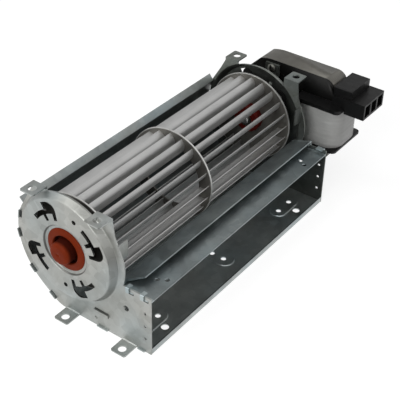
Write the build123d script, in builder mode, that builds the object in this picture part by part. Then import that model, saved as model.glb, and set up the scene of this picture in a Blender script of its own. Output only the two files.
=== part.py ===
"""Cross flow fan: pressed casing, drum impeller and C frame motor.

Frame: X runs along the impeller from the bearing end to the motor, -Y is the way the air leaves,
Z is up. The origin is the centre of the four base lug holes, on the base plane.
All sizes are in millimetres.
"""
from build123d import *
from math import sin, cos, tan, atan2, radians, degrees, hypot, sqrt
import os

# Casing
half_length = 96.5            # outer face of each end plate from the middle
sheet = 0.9                   # end plate thickness
axis_y = 21.5                 # impeller axis
axis_z = 51.4
outlet_front = -60.3          # front of the outlet, from the impeller axis
outlet_top = 43.0             # top edge of the outlet cheeks
fit_gap = 0.05                # gap between parts that sit face to face

# Impeller
disc_radius = 32.5
disc_sheet = 1.0
near_disc_inset = 6.8         # middles of the end discs, from the plates' outer faces
far_disc_inset = 5.5
blade_count = 21
blade_sheet = 0.5
blade_inner = 23.4
blade_bend = 7.2              # radius of the blade arc
blade_turn = 68.0             # angle the blade arc turns through
blade_phase = 82.9
ring_inner = 22.6
tenon_length = 0.9            # blade tenons stand this far out of the end discs

# Dish pressed into each end plate
dish_depth = 4.7
dish_foot = 37.0
dish_shoulder = 34.4
dish_bend = 1.1
collar_radius = 16.9          # round the hub the sheet steps back inwards
collar_step = 0.5
collar_drop = 1.7
collar_lip = 13.5             # edge of the hub's hole
top_cut_radius = 36.75        # the blank is cut round here between the top lugs
window_middle = 23.0          # angle of the first keyed window, from the front upwards
small_holes = ((26.2, 70.0), (26.2, -92.0))

# Lugs
top_lug_z = 87.4
top_lug_reach = 10.8
top_lug_hole_x = 5.6
base_lug_reach = 11.6
base_lug_hole_x = 7.0
lug_hole = 2.6
lug_bend = 1.6
top_front_lug = (-33.6, -22.4)
top_back_lug = (15.6, 26.2)
base_back_lug = (-4.4, 6.4)
base_front_lug = (-49.4, -38.6)
base_hole_y = (1.0, -44.0)
top_hole_y = (-28.0, 20.9)

# Scroll sheet
scroll_sheet = 0.8
edge_margin = 0.3             # plates stand this far outside the scroll
spiral_start = 21.0           # degrees above the back horizontal
spiral_radius = 39.7
spiral_rate = 0.105           # radius gained per degree
spiral_break = -14.0          # angles where the arcs of the spiral meet
spiral_low = -58.0
floor_corner = 11.6           # where the straight run of the scroll would meet the floor
floor_turn = 38.0
floor_bend = 14.0
floor_start = 4.0
lip_height = 3.9
flare_end = (40.0, 68.9)
scroll_tab = 6.0
tab_reach = 1.3
tab_angles = (9.0, -12.0, -45.0)
run_tab_share = 0.58          # place of the lowest tab along the straight run
floor_tabs = ((-27.4, -19.2), (-55.9, -50.7))
near_pad_inset = 20.8         # middles of the pressed floor pads, from the plates
far_pad_inset = 23.3
pad_size = (26.0, 12.0)
pad_y = -43.5
pad_height = 0.6
middle_pad_size = (13.0, 22.0)
middle_pad_y = -40.0
pad_wall = 1.1
pad_hole_half = 6.6           # the pads' pairs of holes stand this far from the middle

# Tongue
tongue_sheet = 0.8
tongue_z = 40.0
tongue_nose = (-34.6, 40.0)
tongue_free = (-48.5, 46.2)
tongue_tabs = ((-47.5, -42.6), (-58.3, -53.2))
tongue_holes = ((18.2, -50.6), (21.3, -55.5))
tab_sheet = 0.9
tab_back = 3.0                # the folded tab heads reach this far back over the plate
tab_slot_side = 0.4           # room round the tabs in the plates' slots
tab_slot_low = 0.8

# Rubber mount and bearing end
rubber_radius = 14.5
rubber_flange = 16.6
rubber_recess = 9.5
cap_radius = 7.5
cap_end = 10.3                # end of the cap, outside the plate plane
cap_wall = 1.8
shaft_radius = 3.0
run_clearance = 0.04
bush_radius = 4.8
bush_ends = (-0.9, 5.6)
stub_end = 7.2
stub_flange = (5.0, 6.3)      # faces of the shaft's flange, inside the plate plane
stub_flange_radius = 9.0
stub_neck = 5.0
press_clearance = 0.02
hub_flange = 10.4
hub_neck = 8.0
hub_sleeve_radius = 4.7

# Motor
core_gap = 21.1               # from the motor end plate to the core
core_thick = 17.0
core_half_height = 33.0
core_round = 33.0
core_front_y = -50.5
core_corner = 8.0
bore_radius = 13.0
air_gap = 0.4
window_half = 17.2
leg_width = 15.0
window_back_y = -24.4
flange_y = (-60.5, -25.2)
flange_half_x = 19.2
bobbin_wall = 1.1
coil_half_x = 17.3
coil_corner = 11.6
bracket_half = 5.5
bracket_reach = 30.6
bracket_foot = 20.5           # the strap's feet end here and its raised part starts nearer the shaft
bracket_shoulder = 16.5
bracket_lean = 0.7
bracket_thick = 1.8
bracket_screw_r = 27.6
cup_radius = 8.2
cup_depth = 7.6
bracket_rise = 3.6
bearing_radius = 6.6
bearing_length = 6.4
mount_radius = 24.0
mount_angle = 44.0
mount_turns = (0, 180)
screw_radius = 1.7
screw_hole = 1.75
screw_head = 3.2
screw_head_high = 1.9
screw_end = 3.6               # threads end this far behind the core
nut_radius = 3.1
nut_high = 2.4
grommet_flange = 5.6
grommet_neck = 4.15
grommet_lip = 1.6
spacer_radius = 3.4
shade_radius = 16.6           # copper shading rings
shade_bar = (1.4, 2.5)
shade_starts = (25, 205)
shade_span = 33
shade_over = 1.2

# Connector, from the core's middle, the bobbin's front edge and its upper flange
plug_side = (-12.1, 15.4)
plug_reach = (-15.5, 9.3)
plug_rise = (-4.1, 7.4)
cap_side = (-11.1, 13.9)
cap_reach = (-4.5, 9.3)
cap_rise = 13.9
plug_pitch = 8.7
cavity_width = 6.7
cavity_height = 8.3
cavity_depth = 13.0
tab_width = 4.8
tab_thick = 0.8
tab_recess = 5.6

# Places that follow from the sizes above
near_disc_x = near_disc_inset - half_length
far_disc_x = half_length - far_disc_inset
dish_face = half_length + dish_depth
core_x0 = half_length + core_gap
core_x1 = core_x0 + core_thick
core_middle = core_x0 + core_thick / 2
flange_top = axis_z + window_half


def cross_plane(x):
    """Plane across the impeller axis at x, with its origin on the axis."""
    return Plane(origin=(x, axis_y, axis_z), x_dir=(0, 1, 0), z_dir=(1, 0, 0))


def level_plane(z):
    """Horizontal plane at height z, with its origin under the axis."""
    return Plane(origin=(0, axis_y, z), x_dir=(1, 0, 0), z_dir=(0, 0, 1))


def drop(point):
    """Point given as (y from the axis, height) in the axes of cross_plane."""
    return (point[0], point[1] - axis_z)


def front_polar(radius, angle):
    """Point round the axis, the angle counted from the front upwards."""
    return (-radius * cos(radians(angle)), radius * sin(radians(angle)))


def back_polar(radius, angle):
    """Point round the axis, the angle counted from the back upwards."""
    return (radius * cos(radians(angle)), radius * sin(radians(angle)))


def ring_piece(r0, r1, a0, a1):
    """Face between two radii and two angles counted from the front."""
    middle = (a0 + a1) / 2
    with BuildLine() as outline:
        ThreePointArc(front_polar(r1, a0), front_polar(r1, middle), front_polar(r1, a1))
        Line(front_polar(r1, a1), front_polar(r0, a1))
        ThreePointArc(front_polar(r0, a1), front_polar(r0, middle), front_polar(r0, a0))
        Line(front_polar(r0, a0), front_polar(r1, a0))
    make_face(outline.edges())


def turn_about_axis(profile, x, outward):
    """Full turn of a list of (radius, distance outward from x) about the impeller axis."""
    face_plane = Plane(origin=(x, axis_y, axis_z), x_dir=(0, 0, 1), z_dir=(0, outward, 0))
    with BuildSketch(face_plane) as section:
        with BuildLine() as outline:
            Polyline(*profile, close=True)
        make_face(outline.edges())
    revolve(section.sketch, axis=Axis((0, axis_y, axis_z), (1, 0, 0)))


def box_between(low, high, mode=Mode.ADD):
    """Box from its two corners, y counted from the impeller axis."""
    size = [high[i] - low[i] for i in range(3)]
    middle = [(high[i] + low[i]) / 2 for i in range(3)]
    with Locations((middle[0], middle[1] + axis_y, middle[2])):
        Box(*size, mode=mode)


def spiral_point(angle, depth):
    """Scroll curve, depth inside the outer surface of the sheet."""
    radius = spiral_radius + spiral_rate * (spiral_start - angle) - edge_margin - depth
    return back_polar(radius, angle)


def spiral_curve(depth):
    """Spiral from its upper end, then a straight run bent into the floor; returns the last point."""
    middle = spiral_point(spiral_break, depth)
    low = spiral_point(spiral_low, depth)
    corner = drop((floor_corner - depth * tan(radians(floor_turn / 2)), edge_margin + depth))
    end = drop((floor_start, edge_margin + depth))
    ThreePointArc(
        spiral_point(spiral_start, depth),
        spiral_point((spiral_start + spiral_break) / 2, depth),
        middle,
    )
    ThreePointArc(middle, spiral_point((spiral_break + spiral_low) / 2, depth), low)
    FilletPolyline(low, corner, end, radius=floor_bend - depth)
    return end


def tab_seats(depth):
    """Places and turns of the tabs along the scroll's edge, depth inside its outer surface."""
    low = spiral_point(spiral_low, 0)
    corner = drop((floor_corner, edge_margin))
    way = (corner[0] - low[0], corner[1] - low[1])
    run_turn = degrees(atan2(way[0], -way[1]))
    inset = back_polar(depth, run_turn)
    run_seat = tuple(low[i] + way[i] * run_tab_share - inset[i] for i in (0, 1))
    return [(spiral_point(angle, depth), angle) for angle in tab_angles] + [(run_seat, run_turn)]


def flare_points():
    """Inner and outer corner and end of the flared top edge."""
    start = spiral_point(spiral_start, 0)
    end = drop(flare_end)
    length = hypot(end[0] - start[0], end[1] - start[1])
    way = ((end[0] - start[0]) / length, (end[1] - start[1]) / length)
    inner_end = (end[0] - way[1] * scroll_sheet, end[1] + way[0] * scroll_sheet)
    return start, end, inner_end


def scroll_profile():
    """Section of the scroll sheet, from the flared top edge round to the floor's front lip."""
    start, end, inner_end = flare_points()
    inner_start = spiral_point(spiral_start, scroll_sheet)
    front_low = drop((outlet_front, edge_margin))
    front_top = drop((outlet_front, edge_margin + lip_height))
    back_top = drop((outlet_front + scroll_sheet, edge_margin + lip_height))
    back_low = drop((outlet_front + scroll_sheet, edge_margin + scroll_sheet))
    with BuildLine() as outline:
        Line(inner_start, inner_end)
        Line(inner_end, end)
        Line(end, start)
        low = spiral_curve(0)
        Polyline(low, front_low, front_top, back_top, back_low)
        high = drop((floor_start, edge_margin + scroll_sheet))
        Line(back_low, high)
        spiral_curve(scroll_sheet)
    make_face(outline.edges())


def plate_outline():
    """Outline of an end plate without its lugs."""
    arm_top = top_lug_z - 2.4
    ring_front = (top_front_lug[1], sqrt(top_cut_radius**2 - top_front_lug[1] ** 2))
    ring_back = (top_back_lug[0], sqrt(top_cut_radius**2 - top_back_lug[0] ** 2))
    with BuildLine() as outline:
        low = drop((floor_start, 0))
        Line(low, drop((outlet_front, 0)))
        Line(drop((outlet_front, 0)), drop((outlet_front, outlet_top)))
        Line(drop((outlet_front, outlet_top)), drop((-40.3, outlet_top)))
        Line(drop((-40.3, outlet_top)), drop((-41.6, 48.5)))
        ThreePointArc(drop((-41.6, 48.5)), drop((-41.6, 56.0)), drop((-39.4, 64.0)))
        Line(drop((-39.4, 64.0)), drop((-34.8, 75.5)))
        Line(drop((-34.8, 75.5)), drop((top_front_lug[0], arm_top)))
        Line(drop((top_front_lug[0], arm_top)), drop((top_front_lug[1], arm_top)))
        Line(drop((top_front_lug[1], arm_top)), ring_front)
        ThreePointArc(ring_front, (0, top_cut_radius), ring_back)
        Line(ring_back, drop((top_back_lug[0], arm_top)))
        Line(drop((top_back_lug[0], arm_top)), drop((top_back_lug[1], arm_top)))
        Line(drop((top_back_lug[1], arm_top)), drop((29.8, 78.0)))
        top = spiral_point(spiral_start, -edge_margin)
        Line(drop((29.8, 78.0)), top)
        spiral_curve(-edge_margin)
    make_face(outline.edges())


def window_face(middle):
    """Keyed window round an angle: a leg, two teeth towards the hub and a head rounded on one side."""
    ring_piece(24.3, 27.6, middle + 7, middle + 32.5)
    ring_piece(20.2, 25.0, middle + 8, middle + 14.5)
    ring_piece(20.0, 25.0, middle - 12, middle - 5)
    root_end, root_start = (front_polar(24.3, middle + turn) for turn in (8, -12))
    head_end, head_start = (front_polar(32.2, middle + turn) for turn in (8, -2))
    shoulder = front_polar(26.5, middle - 12)
    with BuildLine() as outline:
        ThreePointArc(shoulder, front_polar(30.6, middle - 8), head_start)
        ThreePointArc(head_start, front_polar(32.2, middle + 3), head_end)
        Line(head_end, root_end)
        ThreePointArc(root_end, front_polar(24.3, middle - 2), root_start)
        Line(root_start, shoulder)
    make_face(outline.edges())


def cut_windows(side, turns):
    """Keyed windows in the dish at one end, each turned about the axis."""
    with BuildSketch(cross_plane(side * (dish_face + 1))) as cut:
        for turn in turns:
            window_face(window_middle + turn)
    extrude(cut.sketch, amount=-side * (sheet + 2), mode=Mode.SUBTRACT)


def lug(y_range, z_outer, reach, hole_x, hole_y, up):
    """Folded lug with its bend and hole; up is 1 at the top of the plate and -1 at the base."""
    inner = half_length - sheet
    tip = half_length + reach
    root = z_outer - up * (lug_bend + sheet)
    level = z_outer - up * sheet
    side_plane = Plane(origin=(0, axis_y + y_range[1], 0), x_dir=(1, 0, 0), z_dir=(0, -1, 0))
    with BuildSketch(side_plane) as section:
        with BuildLine() as outline:
            Polyline(
                (half_length, root),
                (inner, root),
                (inner, z_outer),
                (tip, z_outer),
                (tip, level),
                (half_length, level),
                close=True,
            )
        make_face(outline.edges())
        inner_corner = section.vertices().sort_by_distance((half_length, level, 0))[0]
        outer_corner = section.vertices().sort_by_distance((inner, z_outer, 0))[0]
        fillet(inner_corner, lug_bend * 0.6)
        fillet(outer_corner, lug_bend * 0.6 + sheet)
    extrude(section.sketch, amount=y_range[1] - y_range[0])
    corners = edges().filter_by(Axis.Z).filter_by(lambda e: abs(e.center().X - tip) < 0.01)
    corners = corners.filter_by(lambda e: abs(e.center().Z - (z_outer + level) / 2) < 0.01)
    corners = corners.filter_by(lambda e: y_range[0] - 0.01 < e.center().Y - axis_y < y_range[1] + 0.01)
    chamfer(corners, 0.8)
    with Locations((half_length + hole_x, axis_y + hole_y, z_outer)):
        Cylinder(lug_hole, 4, mode=Mode.SUBTRACT)


def plate_blank():
    """Sheet at the motor end with its dish, lugs and slots, before the end's own windows."""
    inner = half_length - sheet
    with BuildSketch(cross_plane(inner)) as flat:
        plate_outline()
        Circle(dish_foot + 0.4, mode=Mode.SUBTRACT)
    extrude(flat.sketch, amount=sheet)
    dish_plane = Plane(origin=(half_length, axis_y, axis_z), x_dir=(0, 0, 1), z_dir=(0, 1, 0))
    with BuildSketch(dish_plane) as dish:
        with BuildLine() as outline:
            skin = FilletPolyline(
                (dish_foot + 1.0, 0),
                (dish_foot, 0),
                (dish_shoulder, dish_depth),
                (collar_radius, dish_depth),
                (collar_radius - collar_step, dish_depth - collar_drop),
                (collar_lip, dish_depth - collar_drop),
                radius=dish_bend,
            )
            offset(skin, amount=sheet, side=Side.LEFT)
        make_face(outline.edges())
    revolve(dish.sketch, axis=Axis((0, axis_y, axis_z), (1, 0, 0)))
    with BuildSketch(cross_plane(inner)) as top_cut:
        ring_piece(top_cut_radius, 45, 53.2, 114.5)
        with Locations(((top_front_lug[1] + top_back_lug[0]) / 2, top_cut_radius)):
            Rectangle(top_back_lug[0] - top_front_lug[1], 30, mode=Mode.INTERSECT)
    extrude(top_cut.sketch, amount=sheet + dish_depth, mode=Mode.SUBTRACT)
    lug(top_front_lug, top_lug_z, top_lug_reach, top_lug_hole_x, top_hole_y[0], 1)
    lug(top_back_lug, top_lug_z, top_lug_reach, top_lug_hole_x, top_hole_y[1], 1)
    lug(base_back_lug, 0.0, base_lug_reach, base_lug_hole_x, base_hole_y[0], -1)
    lug(base_front_lug, 0.0, base_lug_reach, base_lug_hole_x, base_hole_y[1], -1)
    with BuildSketch(cross_plane(dish_face + 1)) as dish_holes:
        for radius, angle in small_holes:
            with Locations(front_polar(radius, angle)):
                Circle(1.5)
    extrude(dish_holes.sketch, amount=-sheet - 2, mode=Mode.SUBTRACT)
    with BuildSketch(cross_plane(inner - 0.5)) as flat_holes:
        with Locations(drop((-42.0, 26.5))):
            Circle(2.0)
        for z in (30.0, 20.3, 10.6):
            with Locations(drop((-55.9, z))):
                Circle(1.0)
        slot_height = tongue_sheet + fit_gap + tab_slot_low
        for low, high in tongue_tabs:
            with Locations(drop(((low + high) / 2, tongue_z - tab_slot_low + slot_height / 2))):
                Rectangle(high - low + 2 * tab_slot_side, slot_height)
        for low, high in floor_tabs:
            with Locations(drop(((low + high) / 2, 0.4))):
                Rectangle(high - low + 2 * fit_gap, 2 * (edge_margin + scroll_sheet + fit_gap - 0.4))
        for seat, turn in tab_seats(0):
            with Locations(seat):
                Rectangle(4, scroll_tab + 2 * fit_gap, rotation=turn)
        with Locations(drop((-22.7, 13.6)), drop((-22.7, 10.6))):
            Rectangle(11.0, 0.9)
    extrude(flat_holes.sketch, amount=sheet + 1, mode=Mode.SUBTRACT)
    box_between((half_length - 0.1, -28.2, 11.05), (half_length + 1.1, -17.2, 13.15))
    box_between((half_length - 8.0, -37.9, 58.5), (half_length - 0.1, -37.0, 70.0))


def disc_slots(clearance, tenon, mode=Mode.ADD):
    """Blade sections, or the narrower tenons at their ends."""
    for k in range(blade_count):
        phase = blade_phase + 360.0 / blade_count * k
        inner = front_polar(blade_inner, phase)
        radial = front_polar(1, phase)
        around = front_polar(1, phase + 90)
        first, last = (26, 56) if tenon else (0, blade_turn)
        half = blade_sheet / 2 + clearance
        spread = degrees(clearance / blade_bend)

        def bend_point(turn, radius):
            """Point on the blade arc at a turning angle and radius."""
            along = radius * sin(radians(turn))
            across = blade_bend - radius * cos(radians(turn))
            return tuple(inner[i] + along * radial[i] + across * around[i] for i in (0, 1))

        start, end = first - spread, last + spread
        middle = (start + end) / 2
        with BuildLine() as outline:
            ThreePointArc(*(bend_point(a, blade_bend + half) for a in (start, middle, end)))
            Line(bend_point(end, blade_bend + half), bend_point(end, blade_bend - half))
            ThreePointArc(*(bend_point(a, blade_bend - half) for a in (end, middle, start)))
            Line(bend_point(start, blade_bend - half), bend_point(start, blade_bend + half))
        make_face(outline.edges(), mode=mode)


def bracket(side, face_x):
    """Bent strap across the rotor bore with a cup for the bearing; side is the way the cup points."""
    strap_plane = Plane(origin=(face_x, axis_y + bracket_half, axis_z), x_dir=(0, 0, 1), z_dir=(0, side, 0))
    with BuildSketch(strap_plane) as strap:
        for way in (-1, 1):
            with BuildLine() as outline:
                Polyline(
                    (way * bracket_reach, 0),
                    (way * bracket_reach, bracket_thick),
                    (way * bracket_foot, bracket_thick),
                    (way * bracket_shoulder, bracket_rise + bracket_thick),
                    (0, bracket_rise + bracket_thick),
                    (0, bracket_rise),
                    (way * (bracket_shoulder + bracket_lean), bracket_rise),
                    (way * (bracket_foot + bracket_lean), 0),
                    close=True,
                )
            make_face(outline.edges())
    extrude(strap.sketch, amount=-side * 2 * bracket_half)
    with Locations(
        (face_x, axis_y, axis_z + bracket_screw_r),
        (face_x, axis_y, axis_z - bracket_screw_r),
    ):
        Cylinder(1.8, 8, rotation=(0, 90, 0), mode=Mode.SUBTRACT)
    turn_about_axis(
        [
            (0, bracket_rise),
            (cup_radius + 3.0, bracket_rise),
            (cup_radius + 3.0, bracket_rise + bracket_thick),
            (cup_radius, bracket_rise + bracket_thick),
            (cup_radius, bracket_rise + cup_depth - 1.5),
            (cup_radius - 1.5, bracket_rise + cup_depth),
            (0, bracket_rise + cup_depth),
        ],
        face_x,
        side,
    )
    hollow = bracket_rise + bearing_length + 0.4
    through = bracket_rise + cup_depth + 1
    for radius, depth in ((bearing_radius + press_clearance, hollow), (shaft_radius + 1.0, through)):
        with Locations((face_x + side * depth / 2, axis_y, axis_z)):
            Cylinder(radius, depth, rotation=(0, 90, 0), mode=Mode.SUBTRACT)


def screw_and_nut(spots, head_x, nut_x):
    """Screws along the impeller axis at some spots of cross_plane, each with its head and nut."""
    for length, radius in ((-screw_head_high, screw_head), (nut_x + screw_end - head_x, screw_radius)):
        with BuildSketch(cross_plane(head_x)) as discs:
            with Locations(*spots):
                Circle(radius)
        extrude(discs.sketch, amount=length)
    with BuildSketch(cross_plane(nut_x)) as nuts:
        with Locations(*spots):
            RegularPolygon(nut_radius, 6)
    extrude(nuts.sketch, amount=nut_high)


def coil_ring(half_x, y_low, y_high, corner, hole_x, hole_y):
    """Rounded rectangle with a rectangular hole, on the coil leg."""
    middle = (y_low + y_high) / 2
    leg_middle = core_front_y + leg_width / 2
    with Locations((core_x0 + core_thick / 2, middle)):
        RectangleRounded(2 * half_x, y_high - y_low, corner)
    with Locations((core_x0 + core_thick / 2, leg_middle)):
        Rectangle(2 * hole_x, 2 * hole_y, mode=Mode.SUBTRACT)


# Pressed sheet that both end plates are made from
with BuildPart() as end_blank:
    plate_blank()

# Bearing end plate
with BuildPart() as bearing_end_plate:
    mirror(end_blank.part, about=Plane.YZ)
    cut_windows(-1, (0, 90, 180, 270))
    with Locations((-half_length, axis_y - 18.1, 6.1)):
        Cylinder(1.1, 1.0, rotation=(0, 90, 0), mode=Mode.SUBTRACT)

# Motor end plate, with windows only where no grommet stands
mount_spots = [front_polar(mount_radius, mount_angle + turn) for turn in mount_turns]
with BuildPart() as motor_end_plate:
    add(end_blank.part)
    cut_windows(1, (90, 270))
    with BuildSketch(cross_plane(dish_face + 1)):
        with Locations(*mount_spots):
            Circle(grommet_neck + fit_gap)
    extrude(amount=-(sheet + 2), mode=Mode.SUBTRACT)

# Scroll casing with the outlet floor
floor_length = half_length - sheet - fit_gap
with BuildPart() as scroll_casing:
    with BuildSketch(cross_plane(-floor_length)):
        scroll_profile()
    extrude(amount=2 * floor_length)
    for side in (-1, 1):
        with BuildSketch(cross_plane(side * (floor_length - 1))):
            for seat, turn in tab_seats(scroll_sheet / 2):
                with Locations(seat):
                    Rectangle(scroll_sheet - 0.1, scroll_tab, rotation=turn)
            for low, high in floor_tabs:
                with Locations(drop(((low + high) / 2, edge_margin + scroll_sheet / 2))):
                    Rectangle(high - low, scroll_sheet)
        extrude(amount=side * (half_length + tab_reach - floor_length + 1))
    pad_places = (near_pad_inset - half_length, half_length - far_pad_inset)
    pads = [(0, middle_pad_y, *middle_pad_size)]
    pads += [(x, pad_y, *pad_size) for x in pad_places]
    for x, y, width, depth in pads:
        with BuildSketch(level_plane(edge_margin + scroll_sheet)):
            with Locations((x, y)):
                RectangleRounded(width, depth, min(width, depth) / 2 - 0.1)
        extrude(amount=pad_height, taper=35)
        with BuildSketch(level_plane(edge_margin)):
            with Locations((x, y)):
                pad_round = min(width, depth) / 2 - pad_wall - 0.2
                RectangleRounded(width - 2 * pad_wall, depth - 2 * pad_wall, pad_round)
        extrude(amount=pad_height, mode=Mode.SUBTRACT)
    with BuildSketch(level_plane(edge_margin - 0.5)):
        with Locations((0, middle_pad_y + 5.8), (0, middle_pad_y - 3.5)):
            Circle(1.8)
        for x in pad_places:
            with Locations((x - pad_hole_half, pad_y), (x + pad_hole_half, pad_y)):
                Circle(1.8)
            with Locations((x + 2.0, pad_y - 9.1)):
                Circle(2.5)
    extrude(amount=4, mode=Mode.SUBTRACT)

# Vortex tongue
with BuildPart() as vortex_tongue:
    free_way = (tongue_free[0] - tongue_nose[0], tongue_free[1] - tongue_nose[1])
    free_length = hypot(*free_way)
    rise = (free_way[1] / free_length, -free_way[0] / free_length)
    free_top = (tongue_free[0] + rise[0] * tongue_sheet, tongue_free[1] + rise[1] * tongue_sheet)
    bend_y = tongue_nose[0] + 1.3
    tab_out = half_length + fit_gap
    tab_top = outlet_top + fit_gap
    tab_fold = [
        (tab_out, tongue_z),
        (tab_out, tab_top),
        (half_length - tab_back, tab_top),
        (half_length - tab_back, tab_top + tab_sheet),
        (tab_out + tab_sheet - 0.4, tab_top + tab_sheet),
        (tab_out + tab_sheet, tab_top + tab_sheet - 0.4),
        (tab_out + tab_sheet, tongue_z),
    ]
    with BuildSketch(cross_plane(-floor_length)):
        with BuildLine() as outline:
            Polyline(
                drop((bend_y, tongue_z)),
                drop((outlet_front, tongue_z)),
                drop((outlet_front, tongue_z + tongue_sheet)),
                drop((tongue_nose[0] - 1.6, tongue_z + tongue_sheet)),
                drop(tongue_free),
                drop(free_top),
                drop((tongue_nose[0] + 0.4, tongue_z + tongue_sheet * 2 + 0.7)),
                drop((bend_y + 0.4, tongue_z + tongue_sheet + 0.2)),
                close=True,
            )
        make_face()
    extrude(amount=2 * floor_length)
    with BuildSketch(level_plane(tongue_z + 2.0)):
        with BuildLine() as corner:
            Polyline(
                (-floor_length - 1, -70),
                (-floor_length - 1, -33),
                (3 - floor_length, -36),
                (9 - floor_length, -48),
                (9 - floor_length, -70),
                close=True,
            )
        make_face()
    extrude(amount=6, mode=Mode.SUBTRACT, dir=(0, 0, 1))
    for side in (-1, 1):
        with BuildSketch(cross_plane(side * (floor_length - 1))):
            for low, high in tongue_tabs:
                with Locations(drop(((low + high) / 2, tongue_z + tongue_sheet / 2))):
                    Rectangle(high - low, tongue_sheet)
        extrude(amount=side * (half_length + fit_gap + tab_sheet - floor_length + 1))
        for low, high in tongue_tabs:
            head_plane = Plane(origin=(0, axis_y + low, 0), x_dir=(side, 0, 0), z_dir=(0, -side, 0))
            with BuildSketch(head_plane) as head:
                with BuildLine() as fold:
                    Polyline(*tab_fold, close=True)
                make_face(fold.edges())
            extrude(head.sketch, amount=-side * (high - low))
        with BuildSketch(level_plane(tongue_z - 1)):
            with Locations(*((side * (half_length - inset), y) for inset, y in tongue_holes)):
                Circle(1.5)
        extrude(amount=2.5, mode=Mode.SUBTRACT)

# Impeller disc at the bearing end
with BuildPart() as impeller_disc_bearing_end:
    with BuildSketch(cross_plane(near_disc_x - disc_sheet / 2)):
        Circle(disc_radius)
        disc_slots(fit_gap, True, Mode.SUBTRACT)
        Circle(stub_neck + press_clearance, mode=Mode.SUBTRACT)
    extrude(amount=disc_sheet)

# Middle ring of the impeller
with BuildPart() as impeller_ring_middle:
    with BuildSketch(cross_plane(-disc_sheet / 2)):
        Circle(disc_radius)
        Circle(ring_inner, mode=Mode.SUBTRACT)
        disc_slots(fit_gap, False, Mode.SUBTRACT)
    extrude(amount=disc_sheet)

# Impeller disc at the motor end
with BuildPart() as impeller_disc_motor_end:
    with BuildSketch(cross_plane(far_disc_x - disc_sheet / 2)):
        Circle(disc_radius)
        disc_slots(fit_gap, True, Mode.SUBTRACT)
        Circle(hub_neck + press_clearance, mode=Mode.SUBTRACT)
    extrude(amount=disc_sheet)

# Blades
blade_start = near_disc_x + disc_sheet / 2 + fit_gap
blade_end = far_disc_x - disc_sheet / 2 - fit_gap
with BuildPart() as impeller_blades:
    with BuildSketch(cross_plane(blade_start)):
        disc_slots(0, False)
    extrude(amount=blade_end - blade_start)
    with BuildSketch(cross_plane(blade_start - disc_sheet - tenon_length)):
        disc_slots(0, True)
    extrude(amount=blade_end - blade_start + 2 * (disc_sheet + tenon_length))

# Stub shaft with its crimped flange, fixed in the bearing end disc
with BuildPart() as stub_shaft:
    turn_about_axis(
        [
            (0, stub_end),
            (shaft_radius - 0.5, stub_end),
            (shaft_radius, stub_end - 0.5),
            (shaft_radius, -stub_flange[0]),
            (stub_flange_radius, -stub_flange[0]),
            (stub_flange_radius, -stub_flange[1]),
            (stub_neck, -stub_flange[1]),
            (stub_neck, -stub_flange[1] - disc_sheet - 0.6),
            (0, -stub_flange[1] - disc_sheet - 0.6),
        ],
        -half_length,
        -1,
    )

# Rubber mount round the stub bearing, with a groove round the edge of the hub's hole
groove_front = dish_depth - collar_drop + fit_gap
groove_back = dish_depth - collar_drop - sheet - fit_gap
rubber_back = -1.6
rubber_front = 4.2
recess_floor = -0.3
with BuildPart() as rubber_bearing_mount:
    turn_about_axis(
        [
            (collar_lip - fit_gap, groove_back),
            (rubber_flange, groove_back),
            (rubber_flange, 0),
            (rubber_flange - 5.9, rubber_back),
            (bush_radius + 0.4, rubber_back),
            (bush_radius + press_clearance, rubber_back + 0.4),
            (bush_radius + press_clearance, cap_end - cap_wall),
            (0, cap_end - cap_wall),
            (0, cap_end - 0.5),
            (1.6, cap_end),
            (cap_radius - 2.6, cap_end - 0.2),
            (cap_radius - 0.9, cap_end - 0.9),
            (cap_radius - 0.2, cap_end - 2.2),
            (cap_radius, recess_floor),
            (rubber_recess - 0.2, recess_floor),
            (rubber_recess, rubber_front - 0.4),
            (rubber_recess + 0.5, rubber_front),
            (rubber_radius - 0.4, rubber_front - 0.8),
            (rubber_radius, groove_front),
            (collar_lip - fit_gap, groove_front),
        ],
        -half_length,
        -1,
    )

# Bush in the rubber mount
with BuildPart() as stub_bearing:
    turn_about_axis(
        [
            (shaft_radius + run_clearance, bush_ends[0]),
            (bush_radius - 0.8, bush_ends[0]),
            (bush_radius, bush_ends[0] + 0.8),
            (bush_radius, bush_ends[1] - 0.8),
            (bush_radius - 0.8, bush_ends[1]),
            (shaft_radius + run_clearance, bush_ends[1]),
        ],
        -half_length,
        -1,
    )

# Silicone cushion in the motor end disc
with BuildPart() as hub_cushion:
    turn_about_axis(
        [
            (hub_sleeve_radius + press_clearance, -6.0),
            (hub_flange - 1.4, -6.0),
            (hub_flange, -4.6),
            (hub_flange, -disc_sheet / 2 - fit_gap),
            (hub_neck, -disc_sheet / 2 - fit_gap),
            (hub_neck, disc_sheet / 2 + fit_gap),
            (hub_flange - 0.4, disc_sheet / 2 + fit_gap),
            (hub_flange - 0.4, 2.4),
            (hub_sleeve_radius + press_clearance, 2.4),
        ],
        far_disc_x,
        1,
    )

# Sleeve between cushion and motor shaft
with BuildPart() as hub_sleeve:
    turn_about_axis(
        [
            (shaft_radius + 0.01, -7.0),
            (hub_sleeve_radius, -7.0),
            (hub_sleeve_radius, 3.0),
            (shaft_radius + 0.01, 3.0),
        ],
        far_disc_x,
        1,
    )

# Motor shaft
with BuildPart() as motor_shaft:
    with BuildSketch(cross_plane(far_disc_x - 8.0)):
        Circle(shaft_radius)
    extrude(amount=core_x1 + bracket_rise + cup_depth + 1.0 - far_disc_x + 8.0)
    chamfer(edges().filter_by(GeomType.CIRCLE), 0.5)

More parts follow.
